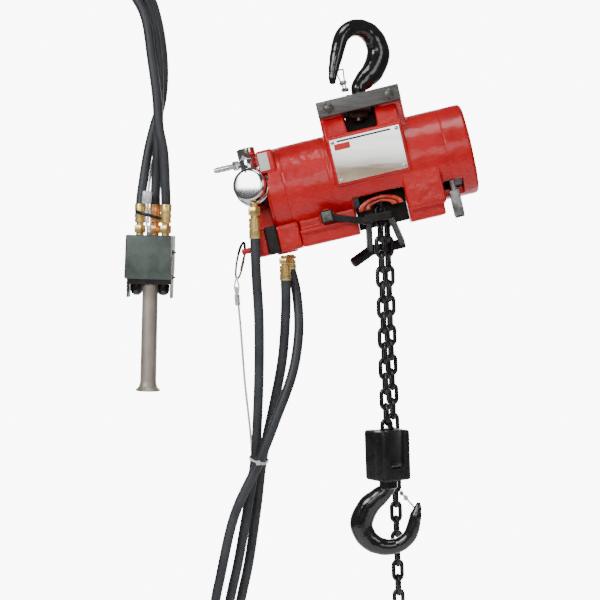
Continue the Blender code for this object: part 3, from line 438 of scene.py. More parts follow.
def camera():
    turn, drop = radians(-3), radians(-2)
    view = Vector((sin(turn) * cos(drop), cos(turn) * cos(drop), sin(drop)))
    up = Vector((0.0332, 0, 0.99945))
    up = (up - view * up.dot(view)).normalized()
    right = view.cross(up)
    place = Vector((-0.0841, 0, -0.3386)) - view * VIEW_LENGTH
    made = linked("camera", bpy.data.cameras.new("camera"))
    made.data.lens, made.data.sensor_width = 90, 36
    made.matrix_world = Matrix((
        (right.x, up.x, -view.x, place.x), (right.y, up.y, -view.y, place.y),
        (right.z, up.z, -view.z, place.z), (0, 0, 0, 1)))
    bpy.context.scene.camera = made


def area(name, place, target, size, power):
    """A rectangular light that faces its target."""
    data = bpy.data.lights.new(name, "AREA")
    data.shape, data.size, data.size_y = "RECTANGLE", size[0], size[1]
    data.energy = power
    made = linked(name, data)
    made.location = place
    made.rotation_euler = (Vector(target) - Vector(place)).to_track_quat("-Z", "Y").to_euler()


def glowing(name, built, colour, glow):
    """A matt piece of the studio with an even glow."""
    paper, _, shader = tree(name + " paper")
    shader.inputs["Base Color"].default_value = (*colour, 1)
    shader.inputs["Roughness"].default_value = 0.9
    shader.inputs["Emission Color"].default_value = (*colour, 1)
    shader.inputs["Emission Strength"].default_value = glow
    made = finish(name, built, paper, body=None)
    return made


def card(name, low, high, colour, glow, seen=True):
    """A flat sheet of the studio between two opposite corners, lying or standing."""
    corners = (low, (high[0], low[1], low[2]), high, (low[0], high[1], high[2]))
    built = bmesh.new()
    built.faces.new([built.verts.new(corner) for corner in corners])
    glowing(name, built, colour, glow).visible_camera = seen


def stage():
    """A pale floor in a white dome, soft lights, and cards for the bright metal to reflect."""
    built = bmesh.new()
    bmesh.ops.create_uvsphere(built, u_segments=48, v_segments=24, radius=9.0)
    dome = glowing("dome", built, (1, 1, 1), 9.0)
    dome.visible_glossy = dome.visible_diffuse = dome.visible_shadow = False
    card("floor", (-2.5, -2.5, FLOOR_Z), (2.5, 2.1, FLOOR_Z), (0.85, 0.85, 0.85), 0.3)
    card("glow", (-1.6, 2.25, -1.3), (1.4, 2.25, 1.0), (1, 1, 1), 2.2, seen=False)
    card("brown_card", (-0.9, -3.0, -0.7), (0.9, -3.0, 0.012), (0.3, 0.21, 0.12), 1.0, seen=False)
    card("white_card", (-0.9, -3.01, 0.012), (0.9, -3.01, 0.9), (1, 1, 1), 2.4, seen=False)
    for name, z, thick in (("upper_strip", 0.066, 0.006), ("lower_strip", 0.046, 0.004),
                           ("low_strip", -0.02, 0.012)):
        card(name, (-0.9, -2.99, z), (0.9, -2.99, z + thick), (0.12, 0.1, 0.09), 0.3, seen=False)
    world = bpy.data.worlds.new("studio")
    world.use_nodes = True
    world.node_tree.nodes["Background"].inputs["Color"].default_value = (1, 1, 1, 1)
    world.node_tree.nodes["Background"].inputs["Strength"].default_value = 0.1
    bpy.context.scene.world = world
    area("key", (-1.35, -1.75, 0.75), (0, 0, -0.2), (1.1, 1.0), 30)
    area("fill", (1.9, -1.6, 0.5), (0, 0, -0.25), (0.8, 1.4), 9)
    area("top", (0.0, -0.6, 1.7), (0, 0, -0.1), (1.0, 0.8), 14)


# Hoses, strain wire and their fittings

ROUTES = {
    "supply_hose": [
        (-0.1355, -0.056, -0.2545), (-0.1355, -0.055, -0.3), (-0.1345, -0.049, -0.36),
        (-0.1375, -0.041, -0.43), (-0.1425, -0.0345, -0.495), (-0.147, -0.033, -0.5415),
        (-0.16, -0.034, -0.61), (-0.18, -0.036, -0.7), (-0.208, -0.041, -0.785), (-0.28, -0.046, -0.866),
        (-0.392, -0.046, -0.875), (-0.486, -0.041, -0.805), (-0.521, -0.026, -0.64), (-0.529, -0.006, -0.4),
        (-0.529, 0.002, -0.15), (-0.52, 0.002, 0.035), (-0.49, 0.002, 0.104), (-0.45, 0.002, 0.147),
        (-0.395, 0.002, 0.17), (-0.34, 0.002, 0.147), (-0.302, 0.002, 0.106), (-0.277, 0.002, 0.068),
        (-0.2643, 0.002, 0.0315), (-0.2582, 0.002, -0.0207), (-0.2595, 0.002, -0.069),
        (-0.2612, 0.001, -0.109), (-0.264, 0.003, -0.1415), (-0.269, 0.008, -0.191),
        (-0.2698, 0.009, -0.2095)],
    "pilot_hose_up": [
        (-0.1003, -0.03, -0.3092), (-0.101, -0.028, -0.345), (-0.1078, -0.02, -0.41),
        (-0.121, -0.016, -0.47), (-0.1385, -0.016, -0.5415), (-0.149, -0.018, -0.61),
        (-0.1665, -0.02, -0.7), (-0.194, -0.024, -0.775), (-0.27, -0.028, -0.848), (-0.385, -0.028, -0.858),
        (-0.474, -0.027, -0.793), (-0.506, -0.02, -0.64), (-0.513, -0.014, -0.4), (-0.513, -0.012, -0.15),
        (-0.506, -0.012, 0.03), (-0.478, -0.012, 0.098), (-0.44, -0.012, 0.1374), (-0.395, -0.012, 0.156),
        (-0.35, -0.012, 0.1374), (-0.312, -0.012, 0.098), (-0.286, -0.012, 0.064), (-0.2708, -0.012, 0.032),
        (-0.2647, -0.012, -0.02), (-0.2598, -0.012, -0.069), (-0.2586, -0.012, -0.109),
        (-0.2538, -0.01, -0.142), (-0.2539, -0.005, -0.191), (-0.2543, -0.003, -0.2102)],
    "pilot_hose_down": [
        (-0.0941, -0.013, -0.2965), (-0.0872, -0.017, -0.33), (-0.0855, -0.028, -0.378),
        (-0.0945, -0.04, -0.43), (-0.117, -0.0475, -0.487), (-0.1405, -0.0485, -0.5415),
        (-0.1745, -0.052, -0.61), (-0.198, -0.056, -0.7), (-0.222, -0.06, -0.79), (-0.292, -0.063, -0.883),
        (-0.398, -0.064, -0.893), (-0.498, -0.058, -0.818), (-0.536, -0.036, -0.64), (-0.545, 0.004, -0.4),
        (-0.545, 0.016, -0.15), (-0.535, 0.016, 0.038), (-0.504, 0.016, 0.11), (-0.46, 0.016, 0.158),
        (-0.395, 0.016, 0.185), (-0.33, 0.016, 0.158), (-0.293, 0.016, 0.114), (-0.271, 0.016, 0.072),
        (-0.2591, 0.016, 0.0314), (-0.2537, 0.016, -0.0208), (-0.2572, 0.016, -0.069),
        (-0.2695, 0.014, -0.109), (-0.2776, 0.01, -0.141), (-0.2862, 0.003, -0.19), (-0.2883, 0.0, -0.2088)],
}
WIRE_ROUTE = [
    (-0.1635, -0.029, -0.318), (-0.16, -0.03, -0.37), (-0.1575, -0.025, -0.44), (-0.1522, -0.0185, -0.5415),
    (-0.164, -0.02, -0.61), (-0.186, -0.018, -0.7), (-0.216, -0.014, -0.79), (-0.285, -0.012, -0.832),
    (-0.38, -0.012, -0.836), (-0.488, -0.01, -0.775), (-0.503, -0.004, -0.64), (-0.5, 0.01, -0.4),
    (-0.497, 0.026, -0.15), (-0.492, 0.03, 0.025), (-0.472, 0.03, 0.092), (-0.4367, 0.03, 0.1342),
    (-0.395, 0.03, 0.1515), (-0.3533, 0.03, 0.1342), (-0.31, 0.03, 0.098), (-0.281, 0.03, 0.062),
    (-0.268, 0.031, 0.03), (-0.262, 0.032, -0.05), (-0.2645, 0.028, -0.109), (-0.2738, 0.018, -0.155),
    (-0.277, -0.001, -0.192), (-0.277, -0.012, -0.222), (-0.2768, -0.0155, -0.232)]


def tube_curve(name, points, radius, material):
    """A round curve through the points, with closed ends."""
    data = bpy.data.curves.new(name, "CURVE")
    data.dimensions, data.bevel_depth, data.bevel_resolution, data.use_fill_caps = "3D", radius, 5, True
    line = data.splines.new("POLY")
    line.points.add(len(points) - 1)
    for target, point in zip(line.points, points):
        target.co = (*point, 1)
    for spline in data.splines:
        spline.use_smooth = True
    data.materials.append(material)
    return linked(name, data)


def cord(node, route, diameter, material):
    points = curve_points(route, ROUTE_STEP)
    made = tube_curve(node + "_line", points, diameter / 2, material)
    attach(made, "hoist_body", node)


def cords():
    for node, route in ROUTES.items():
        cord(node, route, HOSE_D, HOSE)
    cord("strain_wire", WIRE_ROUTE, WIRE_D, CORD_WHITE)


def hose_end(name, top, bottom, node, material=BRASS, place=WORLD):
    """A brass swivel nut, its neck and a crimped ferrule with two grooves."""
    top, bottom = Vector(top), Vector(bottom)
    along = bottom - top
    length = along.length
    stem = lathe([(0, 0), (0, 0.0046), (0.0006, 0.0052), (length * 0.15, 0.0052), (length * 0.15, 0)], top,
                 along)
    nut = hexagon(top + along * 0.12, top + along * 0.38, 0.008, 0.0009)
    neck = lathe([(0, 0), (0, 0.005), (length * 0.16, 0.005), (length * 0.16, 0)], top + along * 0.36, along)
    begin = length * 0.46
    ferrule = [(begin, 0), (begin, 0.0062), (begin + 0.001, 0.0072)]
    for share in (0.6, 0.8):
        ferrule += [(length * share - 0.0012, 0.0072), (length * share - 0.0006, 0.0066),
                    (length * share + 0.0006, 0.0066), (length * share + 0.0012, 0.0072)]
    ferrule += [(length + 0.003, 0.0074), (length + 0.0036, 0.007), (length + 0.0036, 0)]
    finish(name, merged(stem, nut, neck, lathe(ferrule, top, along)), material, place, node=node)


# Castings

def valve_space():
    """The room that the castings leave for the inlet valve."""
    return moved(rod((0, 0.0125, 0), (0, -0.03, 0), 0.0258, 64), BODY.inverted() @ VALVE)


def motor_castings():
    """The motor's shell with its boss, its end cover, and a white block on the cover as a painted highlight.
    """
    barrel = [(0, 0), (0, BODY_R), (0.058, BODY_R), (0.058, 0.0)]
    boss = rod((-0.1115, 0, -0.0445), (-0.06, 0, -0.0435), 0.0135)
    motor = cast([lathe(barrel, on_axis(-0.1147), (1, 0, 0), 96), boss], lumps=0.0009)
    finish("motor_shell", motor, RED, BODY, node="motor_housing")
    lid = [(0, 0), (0, 0.052), (0.004, BODY_R - 0.0005), (0.0247, BODY_R - 0.0005), (0.0247, 0)]
    cover = cast([lathe(lid, on_axis(-0.139), (1, 0, 0), 96),
                  block((-0.1415, -0.0535, -0.063), (-0.12, -0.02, -0.033), 0.003)], [valve_space()])
    finish("motor_cover", cover, RED, BODY, node="motor_end_cover")
    # A white block on the end cover: a painted highlight standing for the glare on the cover's flat front.
    finish("cover_painted_highlight", block((-0.1395, -0.0542, -0.059), (-0.127, -0.053, -0.0365), 0.0004), NYLON, BODY)


def centre_castings():
    """The centre casting, open for the hook and the chains, with black sheets in its window as painted shade,
    and the gear case.
    """
    shell = [(0, 0), (0, BODY_R), (0.1514, BODY_R), (0.1514, 0)]
    solids = [lathe(shell, on_axis(-0.0577), (1, 0, 0), 96),
              block((-0.0535, -0.034, -0.06), (-0.022, 0.033, -0.0008), 0.003),
              block((0.022, -0.034, -0.06), (0.0535, 0.033, -0.0008), 0.003),
              prism([(-0.0535, -0.0105), (0.0535, -0.0105), (0.0535, -0.088), (-0.0535, -0.088)], -0.034,
                    0.033, bevel=0.003),
              prism([(-0.06, -0.1), (-0.06, -0.04), (-0.034, -0.013), (-0.034, -0.1)], -0.05, 0.045,
                    axis=0, bevel=0.002),
              block((-0.0505, -0.0603, -0.1005), (0.0455, -0.04, -0.0385), 0.0015),
              block((0.031, -0.046, -0.164), (0.0765, 0.046, -0.1445), 0.002),
              block((0.031, -0.056, -0.15), (0.08, 0.054, -0.09), 0.004)]
    hollow = [block((-0.035, -0.075, -0.168), (0.031, 0.075, -0.118), 0.001),
              rod(on_axis(-0.06), on_axis(0.096), 0.05), block(*LUG_NOTCH, 0.001),
              prism([(-0.022, -0.0365), (0.0165, -0.0365), (0.019, 0.01), (-0.026, 0.01)], -0.065, 0.014,
                    bevel=0.0015),
              block((-0.0215, 0.01, -0.0165), (0.0185, 0.06, 0.02))]
    centre = cast(solids, hollow, lumps=0.0007)
    finish("centre_casting", centre, RED, BODY, node="centre_housing")
    # Black sheets inside the lug window, front and back: painted shade standing for the dark inside of the
    # window.
    finish("window_painted_shade", block((-0.023, 0.0105, -0.0365), (0.018, 0.013, -0.0165)), LEVER_BLACK, BODY)
    finish("window_back_painted_shade", block((-0.0213, 0.0325, -0.02), (0.0183, 0.0332, -0.002)), LEVER_BLACK, BODY)
    dome = [(0, 0), (0, BODY_R), (0.0297, BODY_R), (0.0329, BODY_R - 0.003), (0.0329, 0)]
    case = cast([lathe(dome, on_axis(0.0926), (1, 0, 0), 96)],
                [block(*LUG_NOTCH, 0.001), rod(on_axis(0.09), on_axis(0.1195), 0.05)], rounds=3)
    finish("gear_casting", case, RED, BODY, node="gear_case")


def lower_castings():
    """The valve chest and the inlet manifold, seated on the motor."""
    seat = rod(on_axis(-0.13), on_axis(0.05), BODY_R + 0.0002, 96)
    chest = cast([block((-0.109, -0.046, -0.164), (-0.035, 0.046, -0.145), 0.002),
                  block((-0.109, -0.052, -0.1475), (-0.035, 0.05, -0.1425), 0.0015),
                  block((-0.109, -0.04, -0.1465), (-0.035, 0.04, -0.125), 0.003),
                  rod((-0.071, -0.03, -0.133), (-0.071, -0.0508, -0.133), 0.01)],
                 [seat, rod((-0.071, -0.066, -0.133), (-0.071, -0.0425, -0.133), 0.0054)], rounds=3)
    finish("chest_casting", chest, RED, BODY, node="valve_chest")
    manifold = cast([block((-0.169, -0.046, -0.164), (-0.1093, 0.03, -0.13), 0.003),
                     block((-0.166, -0.006, -0.14), (-0.1393, 0.026, -0.072), 0.004),
                     block((-0.1884, -0.036, -0.156), (-0.16, -0.022, -0.1485), 0.002),
                     rod((-0.131, -0.022, -0.16), (-0.131, -0.022, -0.1665), 0.013)],
                    [rod((-0.183, -0.029, -0.17), (-0.183, -0.029, -0.13), 0.0042),
                     block((-0.153, -0.06, -0.17), (-0.138, -0.028, -0.127), 0.001),
                     rod(on_axis(-0.1393), on_axis(-0.05), BODY_R + 0.0004, 96), valve_space()], rounds=2,
                    lumps=0.0005)
    finish("manifold_casting", manifold, RED, BODY, node="inlet_manifold")


def guide():
    """Two arched bands over the chain's way out, one behind the other, and a black sheet behind them as
    painted shade.
    """
    def arch(radius):
        turns = [radians(180 * step / 24) for step in range(25)]
        return [(-0.002 + radius * cos(turn), -0.137 + radius * 0.5 * sin(turn)) for turn in turns]

    def band(inner, outer, y_low, y_high):
        return prism(arch(outer) + arch(inner)[::-1], y_low, y_high, bevel=0.0009)
    finish("guide_band_front", band(0.0225, 0.029, -0.0495, -0.044), GUIDE_RED, BODY, node="chain_guide")
    finish("guide_band_rear", band(0.014, 0.0215, -0.044, -0.04), GUIDE_RED, BODY)
    # A thin black sheet filling the chain's opening behind the bands: painted shade for the dark inside.
    finish("guide_painted_shade", block((-0.0345, -0.0195, -0.16), (0.0305, -0.018, -0.119), 0.0005), LEVER_BLACK,
           BODY)


def plate():
    """The nameplate, with plain blocks of colour and four rivets."""
    finish("plate_sheet", block((-0.047, -0.0618, -0.097), (0.042, -0.0603, -0.042)), PLATE, BODY,
           node="nameplate")
    finish("plate_line", block((-0.038, -0.0621, -0.0462), (0.031, -0.0617, -0.044)), LABEL_BLACK, BODY)
    finish("plate_label", block((-0.0425, -0.0621, -0.056), (-0.0225, -0.0617, -0.0482)), LABEL_RED, BODY)
    for index, (x, z) in enumerate(((-0.0435, -0.0455), (0.0385, -0.0455), (-0.0435, -0.0935),
                                    (0.0385, -0.0935))):
        dome = lathe([(0, 0.0026), (0.0008, 0.0024), (0.0014, 0.0015), (0.0017, 0)], (x, -0.0617, z),
                     (0, -1, 0), 24)
        finish(f"plate_rivet_{index}", dome, SATIN, BODY)


def lugs():
    """The lug that carries the chain container on the right, and the block on the left."""
    built = merged(block((0.0855, -0.0475, -0.17), (0.0985, -0.036, -0.137), 0.0012),
                   block((0.0868, -0.0483, -0.167), (0.0878, -0.047, -0.1395), 0.0002),
                   block((0.0962, -0.0483, -0.167), (0.0972, -0.047, -0.1395), 0.0002),
                   rod((0.092, -0.041, -0.14), (0.092, -0.041, -0.1243), 0.0035))
    finish("right_lug", built, LUG_STEEL, BODY, node="hanger_lug")
    finish("right_lug_foot", block((0.0862, -0.047, -0.1722), (0.0978, -0.0375, -0.1692), 0.0008),
           LEVER_BLACK, BODY)
    finish("left_lug", block((-0.1525, -0.0475, -0.164), (-0.1385, -0.03, -0.1285), 0.0008), LEVER_BLACK,
           BODY)


# Suspension and top hook

def suspension():
    """The two bars that hold the cross-head, with their bolts, washers and nuts."""
    for side, node in ((-1, "suspension_bar_front"), (1, "suspension_bar_rear")):
        low, high = sorted((side * 0.0333, side * 0.0433))
        finish(node + "_look", block((-0.0535, low, -0.01), (0.0535, high, 0.01), 0.0009), DARK, BODY,
               node=node)
    for x, node in ((-0.039, "bar_bolt_left"), (0.039, "bar_bolt_right")):
        head = lathe([(0, 0), (0, 0.003), (0.0012, 0.0052), (0.0022, 0.006), (0.0045, 0.0062), (0.0045, 0)],
                     (x, -0.0486, 0), (0, 1, 0), 32)
        washer = rod((x, -0.0445, 0), (x, -0.0433, 0), 0.0072)
        tail = hexagon((x, 0.0436, 0), (x, 0.0484, 0), 0.0066, 0.0006)
        finish(node + "_look", merged(head, washer, tail), BOLT, BODY, node=node)


def hook_line(tip):
    """A hook's centreline as ((x, z), half width), from the shank round the bowl to the tip."""
    line = [((0, 0.062), 0.008), ((0, 0.053), 0.0081), ((-0.002, 0.043), 0.0098), ((-0.013, 0.033), 0.0122),
            ((-0.0265, 0.021), 0.014), ((-0.036, 0.001), 0.0148)]
    for degrees, half in ((205, 0.0137), (228, 0.0124), (250, 0.011), (272, 0.01), (295, 0.0094),
                          (320, 0.009), (342, 0.0087)):
        turn = radians(degrees)
        reach = HOOK_BOWL_R + half
        line.append(((reach * cos(turn), reach * sin(turn)), half))
    return line + tip


def forged_hook(name, tip, shank, place, node, body, collar, girth=1.0):
    """A forged hook with a shank, a deep back and a tapering point."""
    line = [((0, 0.062 + shank), 0.008)] + hook_line(tip)
    points = curve_points([(a, 0, b) for (a, b), _ in line], 0.0022)
    route = [Vector((a, 0, b)) for (a, b), _ in line]
    reach = distances(route)
    sizes = []
    for index in range(len(points)):
        want = reach[-1] * index / (len(points) - 1)
        step = max(i for i in range(len(reach)) if reach[i] <= want + 1e-9)
        step = min(step, len(reach) - 2)
        share = (want - reach[step]) / (reach[step + 1] - reach[step])
        share = share * share * (3 - 2 * share)
        half = line[step][1] * (1 - share) + line[step + 1][1] * share
        flat = 0.82 if half > 0.0095 else 0.92
        sizes.append((half * girth, half * girth * flat))
    points.append(points[-1] + (points[-1] - points[-2]).normalized() * 0.0012)
    sizes.append((sizes[-1][0] * 0.45, sizes[-1][1] * 0.45))
    low, high, radius = collar
    band = lathe([(0, 0), (0, radius * 0.85), (0.0015, radius), (high - low - 0.001, radius),
                  (high - low, radius * 0.9), (high - low, 0)], (0, 0, low), (0, 0, 1))
    finish(name, merged(sweep(points, sizes, 32, across=(0, 1, 0)), band), BLACK, place, body=body, node=node)


def top_suspension():
    tip = [((0.034, 0.005), 0.008), ((0.0385, 0.02), 0.0066), ((0.0415, 0.034), 0.005),
           ((0.042, 0.041), 0.0036)]
    forged_hook("top_hook_forging", tip, 0.026, TURNED_OVER, "top_hook", "top_hook", (0.053, 0.059, 0.0105),
                1.1)
    wire_latch("top_hook_safety", Vector((-0.0215, 0, -0.0485)), 0.0265, -20, SWIVEL, "top_hook_latch",
               "top_latch", 0.0022, 0.0085)


def wire_latch(name, base, reach, lean, place, node, body, near, far):
    """A folded strip latch with two legs, a coil at its pivot and a curled end."""
    turn = radians(lean)
    along = Vector((sin(turn), 0, cos(turn)))
    parts = []
    for side in (-1, 1):
        start, end = base + Vector((0, side * near, 0)), base + along * reach + Vector((0, side * far, 0))
        middle = start.lerp(end, 0.5) - Vector((0, side * 0.001, 0))
        parts.append(sweep(curve_points([start, middle, end], 0.002), (0.0008, 0.0012), 12, across=(0, 1, 0)))
    parts.append(rod(base + along * reach - Vector((0, far, 0)), base + along * reach + Vector((0, far, 0)),
                     0.0011, 16))
    coil = []
    for step in range(61):
        angle = 2 * pi * step / 12
        coil.append(base + along * reach * 0.35
                    + Vector((0.0024 * cos(angle), -0.0045 + 0.009 * step / 60, 0.0024 * sin(angle))))
    parts.append(sweep(coil, (0.0007, 0.0007), 8))
    parts.append(rod(base - Vector((0, 0.005, 0)), base + Vector((0, 0.005, 0)), 0.0026, 20))
    finish(name, merged(*parts), SATIN, place, body=body, node=node)


# Air inlet

def inlet():
    """The inlet valve's drum and bright cap, and the swivel with its hose nipple."""
    drum = lathe([(0, 0), (0, 0.024), (0.0015, 0.0255), (0.03, 0.0255), (0.033, 0.024), (0.033, 0)],
                 (0, 0.0115, 0), (0, -1, 0), 64)
    finish("valve_drum", drum, BLACK, VALVE, node="inlet_valve_body")
    stem = rod((-0.155, -0.018, -0.066), (-0.155, -0.018, -0.0505), 0.0092)
    finish("valve_stem", stem, BLACK, BODY)
    cap = lathe([(0, 0), (0, 0.024), (0.0006, 0.0246), (0.0034, 0.0246), (0.0042, 0.0238), (0.0048, 0.022),
                 (0.0056, 0.0216), (0.015, 0.0214), (0.0168, 0.0204), (0.0178, 0.0186), (0.0182, 0.0165),
                 (0.0184, 0.0)], (0, -0.0218, 0), (0, -1, 0), 96)
    finish("valve_cap_look", cap, CHROME, VALVE, node="inlet_valve_cap")
    finish("valve_cap_screw", rod((0, -0.0398, 0.0165), (0, -0.0408, 0.0165), 0.0013, 16), LABEL_BLACK, VALVE)
    tower = lathe([(0, 0), (0, 0.0108), (0.0008, 0.0117), (0.012, 0.0117), (0.0128, 0.0112), (0.0136, 0.0117),
                   (0.0262, 0.0117), (0.027, 0.0108), (0.027, 0.0078), (0.0262, 0.007), (0.0262, 0)],
                  (0, 0, 0), (0, 0, 1), 64)
    finish("swivel_tower", tower, CHROME, TOWER, body="inlet_swivel", node="inlet_swivel")
    collar = lathe([(0, 0), (0, 0.0042), (0.003, 0.0042), (0.003, 0)], (-0.0095, 0, 0.008), (-1, 0, 0))
    nut = hexagon((-0.0125, 0, 0.008), (-0.0205, 0, 0.008), 0.0062, 0.0008)
    barbs = [(0, 0), (0, 0.0036)]
    for step in range(3):
        at = 0.006 + 0.006 * step
        barbs += [(at, 0.0034), (at + 0.0005, 0.0042), (at + 0.005, 0.0034)]
    barbs += [(0.0255, 0.003), (0.0258, 0.0022), (0.0245, 0.0018), (0.024, 0)]
    stem = lathe(barbs, (-0.02, 0, 0.008), (-1, 0, 0))
    finish("air_nipple_look", merged(collar, nut, stem), SATIN, TOWER, body="inlet_swivel", node="air_nipple")


# Chains

def link(centre, along, across):
    """One welded link: a rounded oval of round bar."""
    half = (CHAIN_WIDTH - CHAIN_WIRE) / 2
    straight = (CHAIN_PITCH + CHAIN_WIRE - 0.0006) / 2 - half
    out = along.cross(across)
    path = []
    for end, first in ((1, 0), (-1, 180)):
        for step in range(9):
            turn = radians(first + 22.5 * step)
            path.append(centre + across * (half * cos(turn)) + along * (end * straight + half * sin(turn)))
    return sweep(path, (CHAIN_WIRE / 2, CHAIN_WIRE / 2), 12, across=out, closed=True)


def hanging_chain(name, x, y, count, node, body):
    """A straight run of links, each turned a quarter from the one above."""
    down = Vector((0, 0, -1))
    ways = (Vector((cos(CHAIN_SKEW), sin(CHAIN_SKEW), 0)),
            Vector((-sin(CHAIN_SKEW), cos(CHAIN_SKEW), 0)))
    parts = []
    for index in range(count):
        centre = Vector((x, y, CHAIN_TOP)) + down * CHAIN_PITCH * index
        parts.append(link(centre, down, ways[index % 2]))
    finish(name, merged(*parts), CHAIN_BLACK, body=body, node=node)


def chains():
    hanging_chain("load_chain_links", *LOAD_LINE, LOAD_LINKS, "load_chain", "lift_block")
    hanging_chain("slack_chain_links", *SLACK_LINE, SLACK_LINKS, "slack_chain", "slack_run")


# Hook block and bottom hook

def block_and_hook():
    """The hook block's two halves and its screws, with the bottom hook and its latch."""
    for side, node in ((-1, "block_half_front"), (1, "block_half_rear")):
        inner, outer = sorted((side * 0.0125, side * 0.03))
        low, high = sorted((-side * 0.03, side * 0.0001))
        solid = block((-BLOCK_HALF, -BLOCK_HALF, BLOCK_LOW), (BLOCK_HALF, BLOCK_HALF, BLOCK_HIGH), 0.0035, 4)
        recess = block((-0.011, inner, -0.555), (0.011, outer, -0.49), 0.007, 6)
        channel = rod((0, 0, -0.549), (0, 0, -0.49), 0.0103)
        other = block((-0.05, low, -0.6), (0.05, high, -0.48))
        made = carved(solid, [recess, channel, other], 0.0003)
        finish(node + "_look", made, BLOCK_BLACK, BLOCK, body="lift_block", node=node)
    for index, (x, z) in enumerate(((-0.0213, -0.5185), (-0.0213, -0.56))):
        cap = lathe([(0, 0.003), (0.0006, 0.003), (0.0012, 0.0024), (0.0012, 0)], (x, -0.0095, z), (-1, 0, 0),
                    24)
        finish(f"block_screw_{index}", cap, LEVER_BLACK, BLOCK, body="lift_block")
    finish("block_pin", rod((-0.009, -0.0165, -0.5525), (0.009, -0.0165, -0.5525), 0.0018), BOLT, BLOCK,
           body="lift_block")
    tip = [((0.0335, 0.007), 0.0078), ((0.0365, 0.017), 0.0052), ((0.0378, 0.0235), 0.0028)]
    forged_hook("bottom_hook_forging", tip, 0.003, HANG, "bottom_hook", "bottom_hook",
                (0.0435, 0.0545, 0.0117))
    wire_latch("bottom_hook_safety", Vector((0.0165, 0, 0.037)), 0.0225, 140, HANG, "bottom_hook_latch",
               "bottom_latch", 0.004, 0.0046)


# Limit lever and snap hook

def bar(start, end, width, height):
    """A forged bar between two points, rounded along its edges."""
    start, end = Vector(start), Vector(end)
    built = block((-width / 2, -height / 2, 0), (width / 2, height / 2, (end - start).length), 0.0014)
    turn = (end - start).to_track_quat("Z", "Y").to_matrix().to_4x4()
    return moved(built, Matrix.Translation(start) @ turn)


def lever():
    """The limit lever: a pad on its pivot and a frame of forged bars round the chains."""
    pad = Vector((-0.071, -0.056, -0.133))
    front_left, front_right = Vector((-0.024, -0.054, -0.147)), Vector((0.0095, -0.054, -0.1495))
    rear_left, rear_right = Vector((-0.029, 0.05, -0.188)), Vector((0.0155, 0.05, -0.188))
    solids = [block(pad - Vector((0.008, 0.005, 0.008)), pad + Vector((0.008, 0.0045, 0.008)), 0.0012),
              bar(pad + Vector((0.004, 0.0005, -0.002)), Vector((-0.02, -0.054, -0.152)), 0.0085, 0.0085),
              bar(front_left - Vector((0.002, 0, 0)), front_right, 0.01, 0.01),
              bar(front_left + Vector((0.0032, 0, 0)), rear_left, 0.0075, 0.0095),
              bar(front_right - Vector((0.003, 0, 0)), rear_right, 0.0075, 0.0095),
              bar(rear_left - Vector((0.0035, 0, 0)), rear_right + Vector((0.0035, 0, 0)), 0.01, 0.013),
              rod(rear_left + Vector((0.008, 0.002, 0.003)), Vector((-0.055, 0.04, -0.199)), 0.007, 32,
                  0.002),
              rod(pad, pad + Vector((0, 0.0125, 0)), 0.005)]
    forged = cast(solids, voxel=0.0008, rounds=3, lumps=0.0004)
    finish("lever_forging", forged, LEVER_BLACK, BODY, body="limit_lever", node="limit_lever")
    face = block(pad - Vector((0.0062, 0.0058, 0.0062)), pad + Vector((0.0062, -0.0045, 0.0062)), 0.0006)
    finish("lever_pad_face", face, BOLT, BODY, body="limit_lever")


def clip():
    """The spring hook between the manifold's eye and the strain wire, with its gate and ferrule."""
    centre = Vector((-0.193, -0.029, -0.1622))
    upward, sideways = Vector((0.4, 0, 0.917)), Vector((0.917, 0, -0.4))
    route = [centre + upward * 0.0235 * cos(radians(i)) + sideways * 0.0042 * sin(radians(i))
             for i in range(-170, 171, 10)]
    crown = [place for place in route if (place - centre).dot(upward) > 0.006]
    finish("snap_wire", sweep(route, (0.0014, 0.0014), 16, across=(0, 1, 0)), BOLT, BODY, node="snap_hook")
    finish("snap_crown", sweep(crown, (0.0017, 0.0017), 16, across=(0, 1, 0)), LEVER_BLACK, BODY)
    gate = sweep([centre + upward * 0.006 + sideways * 0.0038, centre - upward * 0.012 + sideways * 0.003],
                 (0.0016, 0.0022), 12, across=(0, 1, 0))
    finish("snap_gate", gate, SATIN, BODY)
    finish("manifold_pin", rod((-0.1755, -0.029, -0.1562), (-0.1755, -0.029, -0.165), 0.0017), LEVER_BLACK,
           BODY)
    loop = curve_points([(-0.164, -0.029, -0.33), (-0.166, -0.029, -0.318), (-0.1632, -0.0285, -0.3075),
                         (-0.1606, -0.029, -0.318), (-0.1626, -0.029, -0.33)], 0.002)
    finish("wire_loop", sweep(loop, (0.0011, 0.0011), 10), CORD_WHITE)
    finish("wire_ferrule", rod((-0.1634, -0.029, -0.328), (-0.1627, -0.0293, -0.342), 0.0034, 24), SLEEVE)


# Pendant

